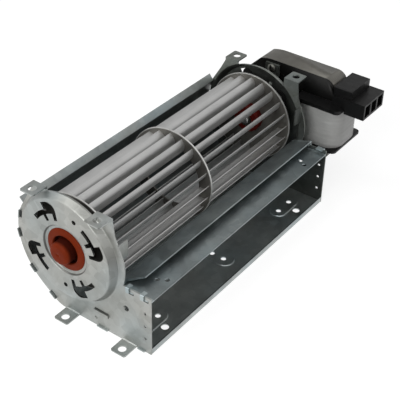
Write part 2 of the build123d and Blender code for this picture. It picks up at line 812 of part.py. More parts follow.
# Rotor with its end rings and bars
rotor_radius = bore_radius - air_gap
with BuildPart() as motor_rotor:
    with BuildSketch(cross_plane(core_x0 - 0.4)):
        Circle(rotor_radius)
        Circle(shaft_radius + 0.01, mode=Mode.SUBTRACT)
    extrude(amount=core_thick + 0.8)
    for x, way in ((core_x0 - 0.4, -1), (core_x1 + 0.4, 1)):
        with BuildSketch(cross_plane(x)):
            Circle(rotor_radius - 0.6)
            Circle(8.6, mode=Mode.SUBTRACT)
        extrude(amount=way * 2.0)

# Core round the rotor, open at the coil leg
shade_angles = [start + turn for start in shade_starts for turn in (0, shade_span)]
with BuildPart() as motor_core:
    with BuildSketch(cross_plane(core_x0)):
        with BuildLine() as outline:
            Line((0, core_half_height), (core_front_y + core_corner, core_half_height))
            ThreePointArc(
                (core_front_y + core_corner, core_half_height),
                (core_front_y + core_corner * 0.293, core_half_height - core_corner * 0.293),
                (core_front_y, core_half_height - core_corner),
            )
            Line(
                (core_front_y, core_half_height - core_corner),
                (core_front_y, core_corner - core_half_height),
            )
            ThreePointArc(
                (core_front_y, -core_half_height + core_corner),
                (core_front_y + core_corner * 0.293, -core_half_height + core_corner * 0.293),
                (core_front_y + core_corner, -core_half_height),
            )
            Line((core_front_y + core_corner, -core_half_height), (0, -core_half_height))
            ThreePointArc((0, -core_half_height), (core_round, 0), (0, core_half_height))
        make_face()
        Circle(bore_radius, mode=Mode.SUBTRACT)
        with Locations(((core_front_y - 1 + window_back_y) / 2, 0)):
            Rectangle(window_back_y - core_front_y + 1, 2 * window_half, mode=Mode.SUBTRACT)
        shade_slot = [width + 2 * fit_gap for width in shade_bar]
        for angle in shade_angles:
            with Locations(back_polar(shade_radius, angle)):
                Rectangle(*shade_slot, rotation=angle, mode=Mode.SUBTRACT)
        with Locations((0, bracket_screw_r), (0, -bracket_screw_r), *mount_spots):
            Circle(screw_hole, mode=Mode.SUBTRACT)
    extrude(amount=core_thick)

# Laminated leg through the coil
with BuildPart() as coil_leg:
    with BuildSketch(cross_plane(core_x0)):
        with Locations((core_front_y + leg_width / 2, 0)):
            Rectangle(leg_width, 2 * window_half - 2 * fit_gap)
    extrude(amount=core_thick)

# Bobbin with its two flanges
leg_middle = core_front_y + leg_width / 2
tube_x = core_thick / 2 + 0.1
tube_y = leg_width / 2 + 0.1
coil_low = axis_z - window_half + 1.6
coil_high = axis_z + window_half - 2.8
with BuildPart() as coil_bobbin:
    for z, thick in ((axis_z - window_half + fit_gap, 1.6 - fit_gap), (coil_high, 2.8 - fit_gap)):
        with BuildSketch(level_plane(z)):
            coil_ring(flange_half_x, flange_y[0], flange_y[1], 3.5, tube_x, tube_y)
        extrude(amount=thick)
    with BuildSketch(level_plane(axis_z - window_half + 0.3)):
        with Locations((core_middle, leg_middle)):
            Rectangle(2 * (tube_x + bobbin_wall), 2 * (tube_y + bobbin_wall))
            Rectangle(2 * tube_x, 2 * tube_y, mode=Mode.SUBTRACT)
    extrude(amount=2 * window_half - 0.6)

# Copper winding
tape_thick = 0.6
coil_hole = (tube_x + bobbin_wall + fit_gap, tube_y + bobbin_wall + fit_gap)
winding_y = (flange_y[0] + 1.0, flange_y[1] - 1.0)
with BuildPart() as coil_winding:
    with BuildSketch(level_plane(coil_low + fit_gap)):
        coil_ring(coil_half_x - tape_thick, *winding_y, coil_corner - tape_thick, *coil_hole)
    extrude(amount=coil_high - coil_low - 2 * fit_gap)

# White tape round the winding
with BuildPart() as coil_tape:
    with BuildSketch(level_plane(coil_low + fit_gap)):
        coil_width = 2 * coil_half_x
        coil_depth = flange_y[1] - flange_y[0] - 0.8
        wall = 2 * tape_thick - fit_gap
        with Locations((core_middle, (flange_y[0] + flange_y[1]) / 2)):
            RectangleRounded(coil_width, coil_depth, coil_corner)
            RectangleRounded(coil_width - wall, coil_depth - wall, coil_corner - 0.55, mode=Mode.SUBTRACT)
    extrude(amount=coil_high - coil_low - 2 * fit_gap)

# Copper shading rings round the pole tips
with BuildPart() as shading_rings:
    for angle in shade_angles:
        with BuildSketch(cross_plane(core_x0 - shade_over)):
            with Locations(back_polar(shade_radius, angle)):
                Rectangle(*shade_bar, rotation=angle)
        extrude(amount=core_thick + 2 * shade_over)
    for start in shade_starts:
        for x, way in ((core_x0 - fit_gap, -1), (core_x1 + fit_gap, 1)):
            with BuildSketch(cross_plane(x)):
                ring_piece(
                    shade_radius - shade_bar[0] / 2,
                    shade_radius + shade_bar[0] / 2,
                    180 - start - shade_span - 3,
                    180 - start + 3,
                )
            extrude(amount=way * shade_over)

# Front bracket
with BuildPart() as front_bracket:
    bracket(-1, core_x0 - fit_gap)

# Rear bracket
with BuildPart() as rear_bracket:
    bracket(1, core_x1 + fit_gap)

# Motor bearings
with BuildPart() as motor_bearings:
    for x, way in ((core_x0 - fit_gap, -1), (core_x1 + fit_gap, 1)):
        turn_about_axis(
            [
                (shaft_radius + run_clearance, bracket_rise),
                (bearing_radius - 1.0, bracket_rise),
                (bearing_radius, bracket_rise + 1.0),
                (bearing_radius, bracket_rise + bearing_length - 0.6),
                (bearing_radius - 1.0, bracket_rise + bearing_length + 0.3),
                (shaft_radius + run_clearance, bracket_rise + bearing_length + 0.3),
            ],
            x,
            way,
        )

# Screws holding the brackets, with their nuts
with BuildPart() as bracket_screws:
    head_x = core_x0 - fit_gap - bracket_thick - fit_gap
    nut_x = core_x1 + fit_gap + bracket_thick + fit_gap
    screw_and_nut(((0, bracket_screw_r), (0, -bracket_screw_r)), head_x, nut_x)

# Grommets in the motor end plate
with BuildPart() as mount_grommets:
    for low, high, radius in (
        (dish_face - sheet - grommet_lip, dish_face - sheet - fit_gap, grommet_flange),
        (dish_face - sheet - fit_gap, dish_face + fit_gap, grommet_neck),
        (dish_face + fit_gap, dish_face + grommet_lip, grommet_flange),
    ):
        with BuildSketch(cross_plane(low)):
            with Locations(*mount_spots):
                Circle(radius)
                Circle(screw_hole, mode=Mode.SUBTRACT)
        extrude(amount=high - low)

# Sleeves between the grommets and the core
with BuildPart() as mount_sleeves:
    with BuildSketch(cross_plane(dish_face + grommet_lip + fit_gap)):
        with Locations(*mount_spots):
            Circle(spacer_radius)
            Circle(screw_hole, mode=Mode.SUBTRACT)
    extrude(amount=core_x0 - dish_face - grommet_lip - 2 * fit_gap)

# Screws through grommets, sleeves and core
with BuildPart() as mount_screws:
    screw_and_nut(mount_spots, dish_face - sheet - grommet_lip - fit_gap, core_x1 + fit_gap)

# Connector housing on the bobbin's upper flange
plug_x0, plug_x1 = (core_middle + side for side in plug_side)
cap_x0, cap_x1 = (core_middle + side for side in cap_side)
plug_y0, plug_y1 = (flange_y[0] + reach for reach in plug_reach)
cap_y0, cap_y1 = (flange_y[0] + reach for reach in cap_reach)
plug_z0, plug_z1 = (flange_top + rise for rise in plug_rise)
cap_top = flange_top + cap_rise
plug_middle = (plug_x0 + plug_x1) / 2
plug_level = (plug_z0 + plug_z1) / 2
cavity_end = plug_y0 + cavity_depth
cavity_places = [plug_middle + k * plug_pitch for k in (-1, 0, 1)]
with BuildPart() as connector_housing:
    box_between((plug_x0, plug_y0, plug_z0), (plug_x1, flange_y[0] - 0.3, plug_z1))
    box_between((plug_x0, flange_y[0] - 1, flange_top + 0.1), (plug_x1, plug_y1, plug_z1))
    box_between((cap_x0, cap_y0, plug_z1 - 0.5), (cap_x1, cap_y1, cap_top))
    for x in cavity_places:
        box_between(
            (x - cavity_width / 2, plug_y0 - 1, plug_level - cavity_height / 2),
            (x + cavity_width / 2, cavity_end, plug_level + cavity_height / 2),
            mode=Mode.SUBTRACT,
        )
    fillet(edges().filter_by(Axis.Y).filter_by(lambda e: e.center().Z > cap_top - 0.1), 0.8)

# Flat terminals in the cavities
with BuildPart() as connector_tabs:
    for x in cavity_places:
        box_between(
            (x - tab_width / 2, plug_y0 + tab_recess, plug_level - tab_thick / 2),
            (x + tab_width / 2, cavity_end, plug_level + tab_thick / 2),
        )

pieces = {
    "bearing_end_plate": bearing_end_plate,
    "motor_end_plate": motor_end_plate,
    "scroll_casing": scroll_casing,
    "vortex_tongue": vortex_tongue,
    "impeller_disc_bearing_end": impeller_disc_bearing_end,
    "impeller_ring_middle": impeller_ring_middle,
    "impeller_disc_motor_end": impeller_disc_motor_end,
    "impeller_blades": impeller_blades,
    "stub_shaft": stub_shaft,
    "rubber_bearing_mount": rubber_bearing_mount,
    "stub_bearing": stub_bearing,
    "hub_cushion": hub_cushion,
    "hub_sleeve": hub_sleeve,
    "motor_shaft": motor_shaft,
    "motor_rotor": motor_rotor,
    "motor_core": motor_core,
    "coil_leg": coil_leg,
    "coil_bobbin": coil_bobbin,
    "coil_winding": coil_winding,
    "coil_tape": coil_tape,
    "shading_rings": shading_rings,
    "front_bracket": front_bracket,
    "rear_bracket": rear_bracket,
    "motor_bearings": motor_bearings,
    "bracket_screws": bracket_screws,
    "mount_grommets": mount_grommets,
    "mount_sleeves": mount_sleeves,
    "mount_screws": mount_screws,
    "connector_housing": connector_housing,
    "connector_tabs": connector_tabs,
}
os.makedirs("parts", exist_ok=True)
for name, piece in pieces.items():
    piece.part.label = name
    export_step(piece.part, f"parts/{name}.step")
    print(name, len(piece.part.solids()), round(piece.part.volume))
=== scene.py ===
from math import cos, pi, radians, sin

import bmesh
import bpy
from bpy.props import FloatProperty, FloatVectorProperty, IntProperty, PointerProperty
from mathutils import Matrix, Vector


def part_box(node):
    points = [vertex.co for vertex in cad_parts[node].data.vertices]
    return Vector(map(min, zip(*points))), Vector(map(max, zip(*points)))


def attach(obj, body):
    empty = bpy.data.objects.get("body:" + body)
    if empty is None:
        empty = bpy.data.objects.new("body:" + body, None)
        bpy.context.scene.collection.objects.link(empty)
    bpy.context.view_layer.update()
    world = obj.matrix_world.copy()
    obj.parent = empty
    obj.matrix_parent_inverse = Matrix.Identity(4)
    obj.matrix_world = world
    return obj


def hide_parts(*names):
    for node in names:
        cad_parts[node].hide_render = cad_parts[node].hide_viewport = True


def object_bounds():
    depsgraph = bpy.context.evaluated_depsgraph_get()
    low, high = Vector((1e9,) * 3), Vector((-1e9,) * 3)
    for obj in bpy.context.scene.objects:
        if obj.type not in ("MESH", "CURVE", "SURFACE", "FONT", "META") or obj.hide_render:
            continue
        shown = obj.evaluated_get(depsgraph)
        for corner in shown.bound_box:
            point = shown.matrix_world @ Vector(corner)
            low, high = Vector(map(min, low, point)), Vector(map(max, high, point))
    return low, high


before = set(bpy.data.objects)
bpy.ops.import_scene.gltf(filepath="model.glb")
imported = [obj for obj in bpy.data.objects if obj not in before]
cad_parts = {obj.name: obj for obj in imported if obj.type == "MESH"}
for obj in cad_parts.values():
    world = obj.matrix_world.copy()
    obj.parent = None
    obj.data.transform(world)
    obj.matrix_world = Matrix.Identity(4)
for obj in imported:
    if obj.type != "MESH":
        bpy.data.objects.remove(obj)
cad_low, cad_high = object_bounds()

bl_info = {
    "name": "Cross flow fan",
    "version": (1, 0, 0),
    "blender": (4, 5, 0),
    "location": "3D View > Sidebar > Fan",
    "description": "Finishes, small fittings and stage for a cross flow fan with a C frame motor",
    "category": "Object",
}

MM = 0.001
SAME_POINT = 0.001 * MM       # points nearer than this are merged
AXIS_Y = 21.5 * MM            # impeller axis
AXIS_Z = 51.4 * MM
HALF_LENGTH = 96.5 * MM       # outer faces of the end plates, from the middle
CORE_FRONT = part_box("motor_core")[0].x
CORE_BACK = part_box("motor_core")[1].x

CAMERA_PLACE = (-0.41753, -0.30075, 0.41642)
LIT_POINT = (0, 0.02, 0.04)   # where the lamps and the card behind are aimed

# Lamps: name, place and width in metres; their powers are settings of the stage
LAMPS = (
    ("key", (-1.05, -0.10, 0.75), 0.7),
    ("fill", (-0.20, -0.95, 0.60), 0.7),
    ("top", (-0.25, 0.55, 1.15), 0.8),
)

# Cards for reflections: name, place, point that they face, half width in metres, grey
CARDS = (
    ("card_behind", (0.60, 0.80, 0.85), LIT_POINT, 0.75, 0.5),
    # The card in front is a near black sheet on the floor that only reflections see: a painted shadow of the
    # fan on the floor
    ("card_in_front", (-0.335, -0.235, 0.001), (-0.335, -0.235, 1.0), 0.2, 0.05),
)

# Screws: node, metal, its colour setting and roughness, distance of the pair from the axis in mm, and angle
# of the first in degrees
SCREW_PAIRS = (
    ("bracket_screws", "phosphated_screw_steel", "phosphate", 0.35, 27.6, 90),
    ("mount_screws", "bright_zinc_plating", "plating", 0.3, 24.0, 136),
)

# Pan head of a screw, (distance from its underside, radius), and its shank, all in mm
PAN_HEAD = ((-1.9, 0), (-1.9, 1.2), (-1.7, 2.2), (-1.2, 2.9), (-0.5, 3.2), (0, 3.2))
SHANK_RADIUS = 1.7
THREAD_ROOT = 1.4
TIP_RADII = (1.2, 0.9)
TIP_LENGTH = 0.2
THREAD_TURNS = 6

HEAD_HEIGHT = 1.9 * MM
SLOT_FLOOR = 0.7 * MM         # floor of the driver slot, above the head's underside
SLOT_TOP = 0.9 * MM           # the faces that the slot takes away lie above this
NUT_PLACE = 3.6 * MM          # near face of the nut, before the screw's end

# Silicone mount, (distance outward from the end plate, radius) in mm
MOUNT_PROFILE = (
    (8.5, 0), (8.5, 4.82), (-1.2, 4.82), (-1.6, 5.2), (-1.6, 10.7), (0.2, 15.0), (0.8, 15.4), (2.05, 15.4),
    (2.05, 13.45), (3.05, 13.45), (3.05, 14.45), (3.2, 14.4), (3.5, 13.9), (4.15, 10.6), (4.2, 10.2),
    (4.1, 9.8), (3.8, 9.55), (3.4, 9.5), (0.1, 9.3), (-0.2, 9.1), (-0.3, 8.8), (-0.3, 8.2), (-0.2, 7.8),
    (0.2, 7.5), (7.6, 7.5), (8.4, 7.4), (9.1, 7.1), (9.7, 6.5), (10.1, 5.7), (10.25, 4.8), (10.3, 3.0),
    (10.3, 1.3), (10.2, 1.0), (9.9, 0.8), (9.8, 0),
)

# Upper half of the core's back: the rounded corners' centres as (y, z) from the axis and their radii in mm,
# each with the angles in degrees of the planes that round it
CORE_CORNERS = (
    (5.7, 25.0, 8.0, (78, 67, 56, 45)),
    (19.5, 14.0, 6.0, (34, 22, 11)),
)
CORE_FLAT = (19.5, 0.0, 6.0, 0)    # plane of the flat back, in the same form

# Settings that several nodes share
MULTIPLY = {"data_type": "RGBA", "blend_type": "MULTIPLY"}
SMOOTH = {"interpolation_type": "SMOOTHSTEP"}


def linear(code):
    """Linear colour of an sRGB hex code."""
    parts = [int(code[i:i + 2], 16) / 255 for i in (1, 3, 5)]
    return tuple(c / 12.92 if c <= 0.04045 else ((c + 0.055) / 1.055) ** 2.4 for c in parts)


def colour_setting(label, text, code):
    """Colour property whose default is an sRGB hex code."""
    return FloatVectorProperty(name=label, description=text, subtype="COLOR", min=0, max=1,
                               default=linear(code))


def length_setting(label, text, millimetres):
    """Length property with its default in millimetres."""
    return FloatProperty(name=label, description=text, subtype="DISTANCE", unit="LENGTH",
                         default=millimetres * MM)


class FanFinishes(bpy.types.PropertyGroup):
    """Colours and pattern sizes of the finishes."""
    plate: colour_setting("Plate zinc", "Galvanised sheet of the end plates, light grains", "#B3B4B0")
    plate_dark: colour_setting("Plate zinc, dark", "Dark grains of the end plates", "#93948F")
    # The motor end's zinc and its dark grains are darker than the plate's as painted shade on the same sheet
    far_plate: colour_setting("Motor end zinc", "Duller sheet at the motor end, light grains", "#8C908D")
    far_plate_dark: colour_setting("Motor end zinc, dark", "Dark grains of the motor end", "#72766F")
    # Darker than the mount's silicone as painted shade, for the hub inside the drum
    cushion: colour_setting("Hub cushion", "Dark red silicone of the hub", "#4E120D")
    scroll: colour_setting("Scroll zinc", "Galvanised sheet of the scroll, light grains", "#B9BEBC")
    scroll_dark: colour_setting("Scroll zinc, dark", "Dark grains of the scroll", "#9CA1A0")
    tongue: colour_setting("Tongue zinc", "Galvanised sheet of the tongue, light grains", "#959C9C")
    tongue_dark: colour_setting("Tongue zinc, dark", "Dark grains of the tongue", "#787F80")
    impeller: colour_setting("Impeller sheet", "Aluminised sheet of blades and discs", "#C0C0BF")
    # The discs' face is darker than the blades' sheet as painted shade
    disc: colour_setting("Disc face", "Dull face of the punched impeller discs", "#6E6C67")
    silicone: colour_setting("Silicone", "Orange red silicone rubber", "#76280C")
    lamination: colour_setting("Lamination edges", "Sheared edges of the core's sheets", "#716F69")
    # The core's outer faces are nearly black as painted shade, for faces that sit in shadow
    blued: colour_setting("Blued face", "Steam blued outer faces of the core", "#0F0F0E")
    nylon: colour_setting("Nylon", "Black glass filled nylon", "#090909")
    # Grey rather than white, as painted shade on the white tape
    tape: colour_setting("Tape", "White polyester winding tape", "#A5A5A3")
    copper: colour_setting("Copper", "Enamelled copper wire", "#B4683F")
    bronze: colour_setting("Bronze", "Sintered bearing bronze", "#A07A4C")
    steel: colour_setting("Steel", "Ground shaft steel", "#B7B7B6")
    plating: colour_setting("Plating", "Bright zinc plated screws", "#C9C9C6")
    phosphate: colour_setting("Phosphate", "Phosphated steel of bracket screws and hub sleeve", "#62625D")
    passivation: colour_setting("Passivation", "Faint blue clouds of the zinc's passivation", "#E2EDF4")
    black_rubber: colour_setting("Black rubber", "Moulded rubber grommets", "#1A1A1A")
    brass: colour_setting("Terminals", "Tinned brass terminals", "#C2BDB0")
    spangle: length_setting("Spangle", "Width of one zinc grain", 5.0)
    lamination_pitch: length_setting("Lamination pitch", "Thickness of one core sheet", 0.65)


class FanFittings(bpy.types.PropertyGroup):
    """Sizes of the small fittings."""
    slot_width: length_setting("Driver slot", "Width of the driver slot in a screw head", 0.9)
    thread_pitch: length_setting("Thread pitch", "Distance from one turn of thread to the next", 0.7)
    nut_radius: length_setting("Nut radius", "Radius over the corners of a nut", 3.1)
    nut_height: length_setting("Nut height", "Height of a nut along its screw", 2.4)
    nut_chamfer: length_setting("Nut chamfer", "Chamfer on a nut's outer corners", 0.35)
    tape_turns: IntProperty(name="Tape turns", description="Turns of tape round the coil", min=1, default=7)
    tape_corner: length_setting("Tape corner", "Radius of the tape's corners round the coil", 11.6)
    tape_wall: length_setting("Tape wall", "Thickness of the wound tape", 0.45)


class FanStage(bpy.types.PropertyGroup):
    """Camera and light."""
    azimuth: FloatProperty(name="Azimuth", description="Camera angle round the fan", subtype="ANGLE",
                           default=radians(-54.4027))
    elevation: FloatProperty(name="Elevation", description="Camera angle above the horizon", subtype="ANGLE",
                             default=radians(36.2306))
    roll: FloatProperty(name="Roll", description="Camera roll", subtype="ANGLE", default=radians(1.5036))
    lens: FloatProperty(name="Lens", description="Focal length in millimetres", unit="CAMERA", default=89.14)
    ambient: FloatProperty(name="Ambient", description="World light on the fan", default=0.20)
    key: FloatProperty(name="Key light", description="Power of the key light", unit="POWER", default=8.0)
    fill: FloatProperty(name="Fill light", description="Power of the fill light", unit="POWER", default=0.8)
    top: FloatProperty(name="Top light", description="Power of the light above", unit="POWER", default=4.5)


def add_node(tree, kind, settings=None, inputs=None):
    """Adds a node with its settings; an input given as a socket is linked."""
    node = tree.nodes.new(kind)
    for name, value in (settings or {}).items():
        setattr(node, name, value)
    for name, value in (inputs or {}).items():
        if isinstance(value, bpy.types.NodeSocket):
            tree.links.new(value, node.inputs[name])
        else:
            node.inputs[name].default_value = value
    return node


def per_metre(*sizes):
    """Scales that give a pattern's grain these sizes in millimetres along X, Y and Z."""
    return tuple(1 / (size * MM) for size in sizes)


def empty_tree(owner):
    """Node tree of a material or world, with nothing in it."""
    owner.use_nodes = True
    owner.node_tree.nodes.clear()
    return owner.node_tree


def start_material(name, colour, roughness, metallic=0.0):
    """Material with one Principled shader; returns material, tree, shader and object coordinates."""
    material = bpy.data.materials.new(name)
    tree = empty_tree(material)
    shader = add_node(tree, "ShaderNodeBsdfPrincipled", inputs={
        "Base Color": (*colour, 1), "Roughness": roughness, "Metallic": metallic,
    })
    add_node(tree, "ShaderNodeOutputMaterial", inputs={"Surface": shader.outputs["BSDF"]})
    place = add_node(tree, "ShaderNodeTexCoord").outputs["Object"]
    return material, tree, shader, place


def link_in(tree, socket, shader, name):
    """Feeds a shader input from a socket."""
    tree.links.new(socket, shader.inputs[name])


def past(tree, place, axis, limit):
    """Mask that is 1 where a coordinate is past a limit, either way from the middle."""
    part = add_node(tree, "ShaderNodeSeparateXYZ", inputs={"Vector": place})
    size = add_node(tree, "ShaderNodeMath", {"operation": "ABSOLUTE"}, {0: part.outputs[axis]})
    return add_node(tree, "ShaderNodeMath", {"operation": "GREATER_THAN"}, {
        0: size.outputs["Value"], 1: limit,
    }).outputs["Value"]


def from_axis(tree, place):
    """Vector from the impeller's axis, square to it."""
    return add_node(tree, "ShaderNodeMapping", inputs={
        "Vector": place, "Location": (0, -AXIS_Y, -AXIS_Z), "Scale": (0, 1, 1),
    }).outputs["Vector"]


def axis_radius(tree, place):
    """Distance from the impeller's axis."""
    away = from_axis(tree, place)
    return add_node(tree, "ShaderNodeVectorMath", {"operation": "LENGTH"}, {0: away}).outputs["Value"]


def painted_scroll_shade(tree, place):
    """Mask for painted shade on the scroll's inner face, which faces the axis and is above the floor.
    The flare at its top gets less of the painted shade, and the tabs at its ends get none."""
    floor_top, flare_foot, tab_foot = 4.0 * MM, 64.5 * MM, HALF_LENGTH - 0.5 * MM
    facing = add_node(tree, "ShaderNodeNewGeometry")
    inward = add_node(tree, "ShaderNodeVectorMath", {"operation": "DOT_PRODUCT"}, {
        0: from_axis(tree, place), 1: facing.outputs["Normal"],
    })
    inside = add_node(tree, "ShaderNodeMath", {"operation": "LESS_THAN"}, {
        0: inward.outputs["Value"], 1: 0.0,
    })
    both = add_node(tree, "ShaderNodeMath", {"operation": "MULTIPLY"}, {
        0: inside.outputs["Value"], 1: past(tree, place, "Z", floor_top),
    })
    bright = add_node(tree, "ShaderNodeMath", {"operation": "MULTIPLY_ADD"}, {
        0: past(tree, place, "Z", flare_foot), 1: 0.7, 2: past(tree, place, "X", tab_foot),
    })
    return add_node(tree, "ShaderNodeMath", {"operation": "SUBTRACT", "use_clamp": True}, {
        0: both.outputs["Value"], 1: bright.outputs["Value"],
    }).outputs["Value"]


def painted_plate_shade(tree, place):
    """Mask for the end plates: the punched edges of the windows, between the faces of the dish, dark as bare
    steel and as painted shade; and in part the dish's slope and the step round the hub, darkened as painted
    shade."""
    window_middle, window_half = 25.7 * MM, 7.4 * MM
    sheet_middle, sheet_half = HALF_LENGTH + 4.25 * MM, 0.42 * MM
    step_radius, step_half = 16.65 * MM, 0.4 * MM
    slope_start, slope_full = 33.8 * MM, 35.2 * MM
    slope_fade, slope_end = 36.4 * MM, 37.6 * MM
    radius = axis_radius(tree, place)
    ring = add_node(tree, "ShaderNodeMath", {"operation": "COMPARE"}, {
        0: radius, 1: window_middle, 2: window_half,
    })
    part = add_node(tree, "ShaderNodeSeparateXYZ", inputs={"Vector": place})
    size = add_node(tree, "ShaderNodeMath", {"operation": "ABSOLUTE"}, {0: part.outputs["X"]})
    between = add_node(tree, "ShaderNodeMath", {"operation": "COMPARE"}, {
        0: size.outputs["Value"], 1: sheet_middle, 2: sheet_half,
    })
    edges = add_node(tree, "ShaderNodeMath", {"operation": "MULTIPLY"}, {
        0: ring.outputs["Value"], 1: between.outputs["Value"],
    })
    slope = add_node(tree, "ShaderNodeMapRange", SMOOTH, {
        "Value": radius, "From Min": slope_start, "From Max": slope_full, "To Min": 0.0, "To Max": 0.30,
    })
    foot = add_node(tree, "ShaderNodeMapRange", SMOOTH, {
        "Value": radius, "From Min": slope_fade, "From Max": slope_end, "To Min": 1.0, "To Max": 0.0,
    })
    slope_shade = add_node(tree, "ShaderNodeMath", {"operation": "MULTIPLY"}, {
        0: slope.outputs["Result"], 1: foot.outputs["Result"],
    })
    most = add_node(tree, "ShaderNodeMath", {"operation": "MAXIMUM"}, {
        0: edges.outputs["Value"], 1: slope_shade.outputs["Value"],
    })
    step = add_node(tree, "ShaderNodeMath", {"operation": "COMPARE"}, {
        0: radius, 1: step_radius, 2: step_half,
    })
    return add_node(tree, "ShaderNodeMath", {"operation": "MULTIPLY_ADD", "use_clamp": True}, {
        0: step.outputs["Value"], 1: 0.5, 2: most.outputs["Value"],
    }).outputs["Value"]


def painted_drum_side_shade(tree, place):
    """Mask for painted shade on what looks at the drum and the outlet: faces inside the dish and below the
    lugs, and the guide flap in front."""
    dish_radius, lug_foot, flap_end = 37.2 * MM, 66.0 * MM, HALF_LENGTH - 1.5 * MM
    towards_drum = -0.3
    near = add_node(tree, "ShaderNodeMath", {"operation": "LESS_THAN"}, {
        0: axis_radius(tree, place), 1: dish_radius,
    })
    facing = add_node(tree, "ShaderNodeNewGeometry")
    way = add_node(tree, "ShaderNodeSeparateXYZ", inputs={"Vector": facing.outputs["Normal"]})
    inward = add_node(tree, "ShaderNodeMath", {"operation": "LESS_THAN"}, {
        0: way.outputs["X"], 1: towards_drum,
    })
    part = add_node(tree, "ShaderNodeSeparateXYZ", inputs={"Vector": place})
    low = add_node(tree, "ShaderNodeMath", {"operation": "LESS_THAN"}, {0: part.outputs["Z"], 1: lug_foot})
    held = add_node(tree, "ShaderNodeMath", {"operation": "MAXIMUM"}, {
        0: near.outputs["Value"], 1: low.outputs["Value"],
    })
    both = add_node(tree, "ShaderNodeMath", {"operation": "MULTIPLY"}, {
        0: held.outputs["Value"], 1: inward.outputs["Value"],
    })
    flap = add_node(tree, "ShaderNodeMath", {"operation": "LESS_THAN"}, {0: part.outputs["X"], 1: flap_end})
    return add_node(tree, "ShaderNodeMath", {"operation": "MAXIMUM"}, {
        0: both.outputs["Value"], 1: flap.outputs["Value"],
    }).outputs["Value"]


def painted_tab_highlight(tree, place):
    """Mask for the tab heads, whose colour is raised as painted highlight."""
    return past(tree, place, "X", 93.4 * MM)


def painted_groove_shade(tree, place):
    """Mask for painted shade in the groove round the cap, deepening outward, and on the flange behind the
    plate.
    """
    groove_radius, flange_radius = 9.45 * MM, 14.6 * MM
    unshaded_x, dark_x = -HALF_LENGTH - 9.4 * MM, -HALF_LENGTH - 6.5 * MM
    radius = axis_radius(tree, place)
    behind = add_node(tree, "ShaderNodeMath", {"operation": "GREATER_THAN"}, {0: radius, 1: flange_radius})
    near = add_node(tree, "ShaderNodeMath", {"operation": "LESS_THAN"}, {0: radius, 1: groove_radius})
    part = add_node(tree, "ShaderNodeSeparateXYZ", inputs={"Vector": place})
    deep = add_node(tree, "ShaderNodeMapRange", SMOOTH, {
        "Value": part.outputs["X"], "From Min": unshaded_x, "From Max": dark_x,
    })
    groove = add_node(tree, "ShaderNodeMath", {"operation": "MULTIPLY"}, {
        0: near.outputs["Value"], 1: deep.outputs["Result"],
    })
    return add_node(tree, "ShaderNodeMath", {"operation": "MAXIMUM"}, {
        0: groove.outputs["Value"], 1: behind.outputs["Value"],
    }).outputs["Value"]


def cloudy_level(tree, place, size, detail, low, high):
    """Soft clouds, their size in the units of place: gives their height, and a level from low to high."""
    cloud = add_node(tree, "ShaderNodeTexNoise", inputs={
        "Vector": place, "Scale": 1 / size, "Detail": detail,
    })
    level = add_node(tree, "ShaderNodeMapRange", inputs={
        "Value": cloud.outputs["Fac"], "From Min": 0.3, "From Max": 0.7, "To Min": low, "To Max": high,
    })
    return cloud.outputs["Fac"], level.outputs["Result"]


